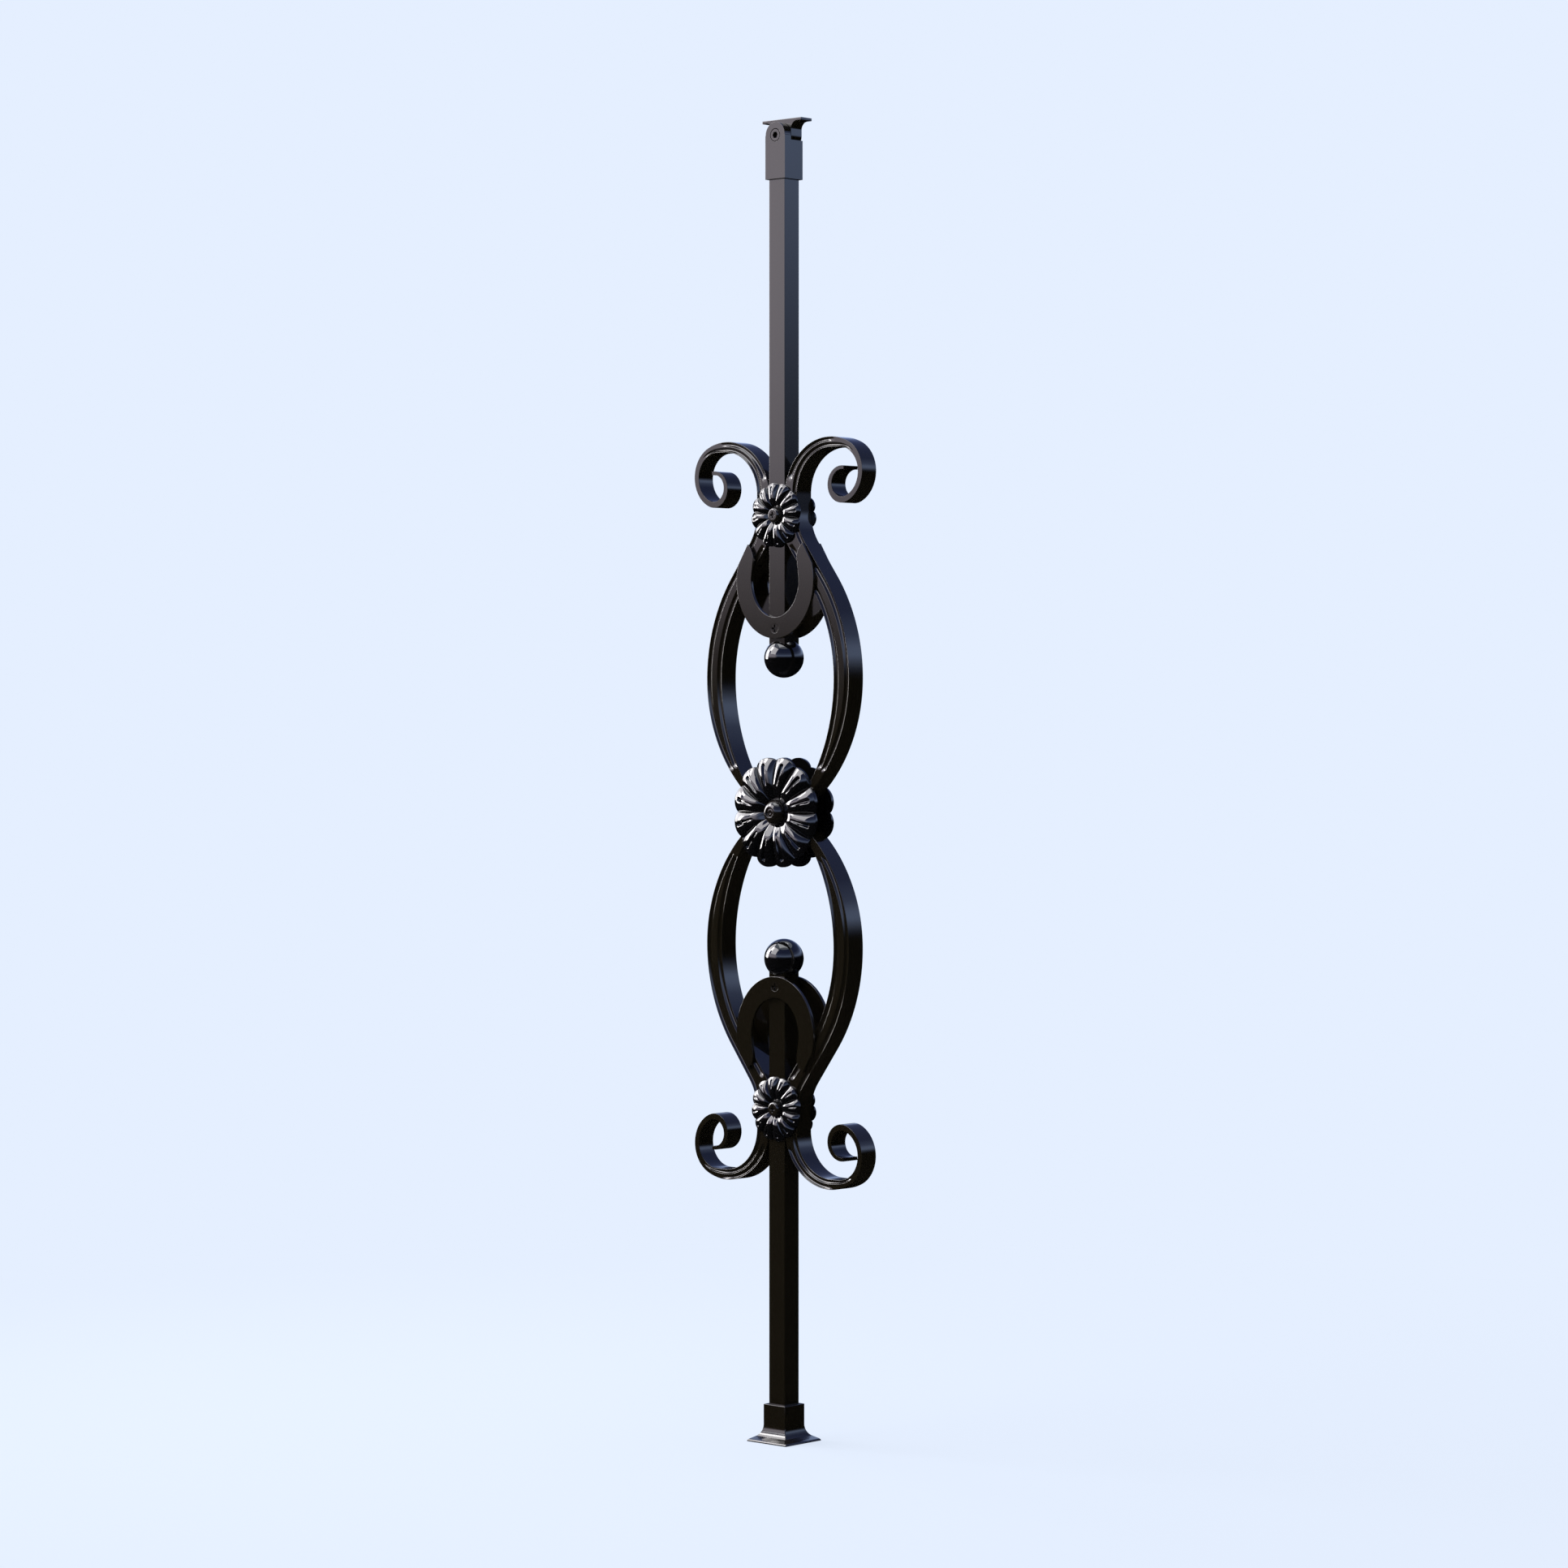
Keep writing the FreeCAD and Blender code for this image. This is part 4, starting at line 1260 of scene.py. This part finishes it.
    def half_rungs(self) -> tuple[np.ndarray, np.ndarray, np.ndarray, np.ndarray]:
        """Pairs the two lines of a half bar.

        Returns:
            The outer and inner points of each rung, and the depth of the flute beside each line.
        """
        outer = self.outer()
        oval, high, straight, neck, run, under, flat, loop, curl = outer.marks[1:]
        top = max(z for x, z in outer.points) + self.arch_thick
        inner = self.inner(top)
        foot, low, in_high, post, beside, arch, in_loop, in_curl = inner.marks[1:]
        arch_top = beside + (arch - beside) * self.arch_top_at
        pairs = [(0.0, 0.0), (oval, low), (high, in_high),
                 (straight + self.neck_at * (neck - straight), post), (run, beside),
                 (under, arch_top), (flat, arch_top + self.loop_start), (loop, in_loop),
                 (curl, in_curl)]
        along = np.linspace(0, curl, math.ceil(curl / self.rung_gap) + 1)
        beside_along = np.interp(along, [p[0] for p in pairs], [p[1] for p in pairs])
        outer_flute = fade(self.outer_in, 0.0, along) * (1 - fade(self.outer_out, flat, along))
        inner_flute = (fade(self.inner_in, foot, beside_along)
                       * (1 - fade(self.inner_out, post, beside_along)))
        arch_flute = (fade(self.arch_in, beside, beside_along)
                      * (1 - fade(self.arch_out, arch_top, beside_along)))
        return outer.at(along), inner.at(beside_along), outer_flute, inner_flute + arch_flute

    def ladder(self, side: int) -> Mesh:
        """Builds the guide ladder of a whole bar.

        Args:
            side: 1 for the right-hand bar and -1 for the left.

        Returns:
            The ladder's mesh.
        """
        outer, inner, outer_flute, inner_flute = self.half_rungs()
        upper = np.stack([np.column_stack([outer, outer_flute]),
                          np.column_stack([inner, inner_flute])], axis=1)
        rungs = np.concatenate([upper[::-1] * (1.0, -1.0, 1.0), upper])
        ends = np.concatenate([rungs[:1], rungs, rungs[-1:]]).reshape(-1, 3)
        points = np.column_stack([side * ends[:, 0], 0.0 * ends[:, 0], ends[:, 1] + CENTRE_HEIGHT]) * MM
        pairs = np.arange(len(points)).reshape(-1, 2)
        mesh = bpy.data.meshes.new("guide_ladder")
        mesh.from_pydata(points.tolist(), pairs.tolist(), [])
        closing = np.zeros(len(points))
        closing[[0, 1, -2, -1]] = 1.0
        for name, values in (("flute", ends[:, 2].copy()), ("closing", closing)):
            mesh.attributes.new(name, "FLOAT", "POINT").data.foreach_set("value", values)
        return mesh

    def section(self) -> Mesh:
        """Draws the section: each point's place from its line, its depth and its share of a flute.

        Returns:
            A mesh of points in order round the section.
        """
        deep, edge, rim = self.half_depth, self.edge, self.flute_rim
        line = [(0.0, -deep + edge, 0.0),
                (EDGE_MIDDLE * edge, -deep + EDGE_MIDDLE * edge, 0.0), (edge, -deep, 0.0)]
        lip = self.flute_lip
        near = [-lip, -lip / 2, 0.0, lip / 2, lip, *self.flute_shares]
        for share in near + [0.5] + [1 - q for q in reversed(near)]:
            inward = min(share, 1 - share)
            sag = 1 - (2 * share - 1) ** 2 if inward >= lip else (1 - lip) / lip * (inward + lip) ** 2
            line.append((rim + share * self.flute_width, -deep, sag))
        line.append((rim + self.flute_width + self.flute_land, -deep, 0.0))
        front = [(x, y, d, 0.0) for x, y, d in line]
        front += [(x, y, d, 1.0) for x, y, d in reversed(line)]
        loop = front + [(x, -y, -d, s) for x, y, d, s in reversed(front)]
        mesh = bpy.data.meshes.new("moulding_section")
        mesh.from_pydata([(x * MM, y * MM, 0.0) for x, y, _, _ in loop], [], [])
        for name, column in (("dip", 2), ("inner_side", 3)):
            values = [point[column] for point in loop]
            mesh.attributes.new(name, "FLOAT", "POINT").data.foreach_set("value", values)
        return mesh

    def build(self, tree: MouldedBar) -> None:
        """Makes both bars.

        Args:
            tree: The tree that lays the section.
        """
        section = new_object("moulding_section", self.section())
        for name, side in (("left", -1), ("right", 1)):
            obj = new_object(name + "_scroll_bar_moulded", self.ladder(side))
            tree.run(obj, Section=section, Section_points=len(section.data.vertices),
                     Rungs=len(obj.data.vertices) // 2, Flute_depth=self.flute_depth * MM,
                     Half_moulding=(self.flute_rim + self.flute_width + self.flute_land) * MM,
                     Paint=SATIN_PAINT.material())
            close_up(obj.data, self.sharp_deg)
            weigh_normals(obj)
            hand_over(obj, Body.BALUSTER, SATIN_PAINT, (name + "_scroll_bar",))
        bpy.data.objects.remove(section, do_unlink=True)


def named(pattern: str) -> tuple[str, ...]:
    """Gives the front and rear names of a node's pattern, at both levels where it has one."""
    names = [pattern]
    if "LEVEL" in pattern:
        names = [pattern.replace("LEVEL", level) for level in ("lower", "upper")]
    return tuple(n.replace("FACE", f.node_suffix) for n in names for f in Face)


def main() -> None:
    """Builds the studio and dresses the part, piece by piece."""
    logging.basicConfig(level=logging.INFO, format="%(name)s: %(message)s")
    for obj in list(bpy.data.objects):
        bpy.data.objects.remove(obj, do_unlink=True)
    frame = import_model()
    bpy.context.scene.view_settings.view_transform = "Standard"
    Studio().build()
    OgeeShoe().build()
    for kind, nodes, paint, body, edge_mm in (
            (DressedNodes, ("lower_post", "upper_post"), SATIN_PAINT, Body.BALUSTER, 0.4),
            (DressedNodes, ("rail_sleeve",), SATIN_PAINT, Body.BALUSTER, 0.12),
            (DressedNodes, ("rail_plate",), SATIN_PAINT, Body.SWIVEL, 0.35),
            (DressedNodes, named("LEVEL_horseshoe_FACE"), SATIN_PAINT, Body.BALUSTER, 0.3),
            (DressedNodes, ("lower_ball", "upper_ball"), GLOSS_PAINT, Body.BALUSTER, 0.2),
            (PivotScrew, ("pivot_screw",), SCREW_PAINT, Body.BALUSTER, 0.0),
            (DressedNodes, ("pivot_nut",), SCREW_PAINT, Body.BALUSTER, 0.0)):
        kind(nodes, paint, body, edge_mm).build(frame)
    ScrollBars().build(MouldedBar())
    Flowers().build(PetalRing())
    pairs = FacePairs()
    Screws("horseshoe_screws", "lower_horseshoe_screw_front", named("LEVEL_horseshoe_screw_FACE"),
           levels=2, first_height=345.5, rise=270.6, edge=0.0, recess_floor=1.9, recess_sink=0.6,
           recess_reach=2.6, recess_growth=1.35).build(frame, pairs)
    Screws("small_rosette_screws", "lower_rosette_screw_front", named("LEVEL_rosette_screw_FACE"),
           levels=2, first_height=252.83, rise=448.54, edge=0.15, tip_radius=3.9,
           built_tip_radius=3.1, base_height=2.2, tip_height=5.2, recess_floor=4.5,
           recess_sink=0.9).build(frame, pairs)
    BossScrews("large_rosette_screws", "large_rosette_screw_front", named("large_rosette_screw_FACE"),
               levels=1, first_height=CENTRE_HEIGHT, rise=0.0, edge=0.15,
               outline=LARGE_BOSS).build(frame, pairs)


if __name__ == "__main__":
    main()
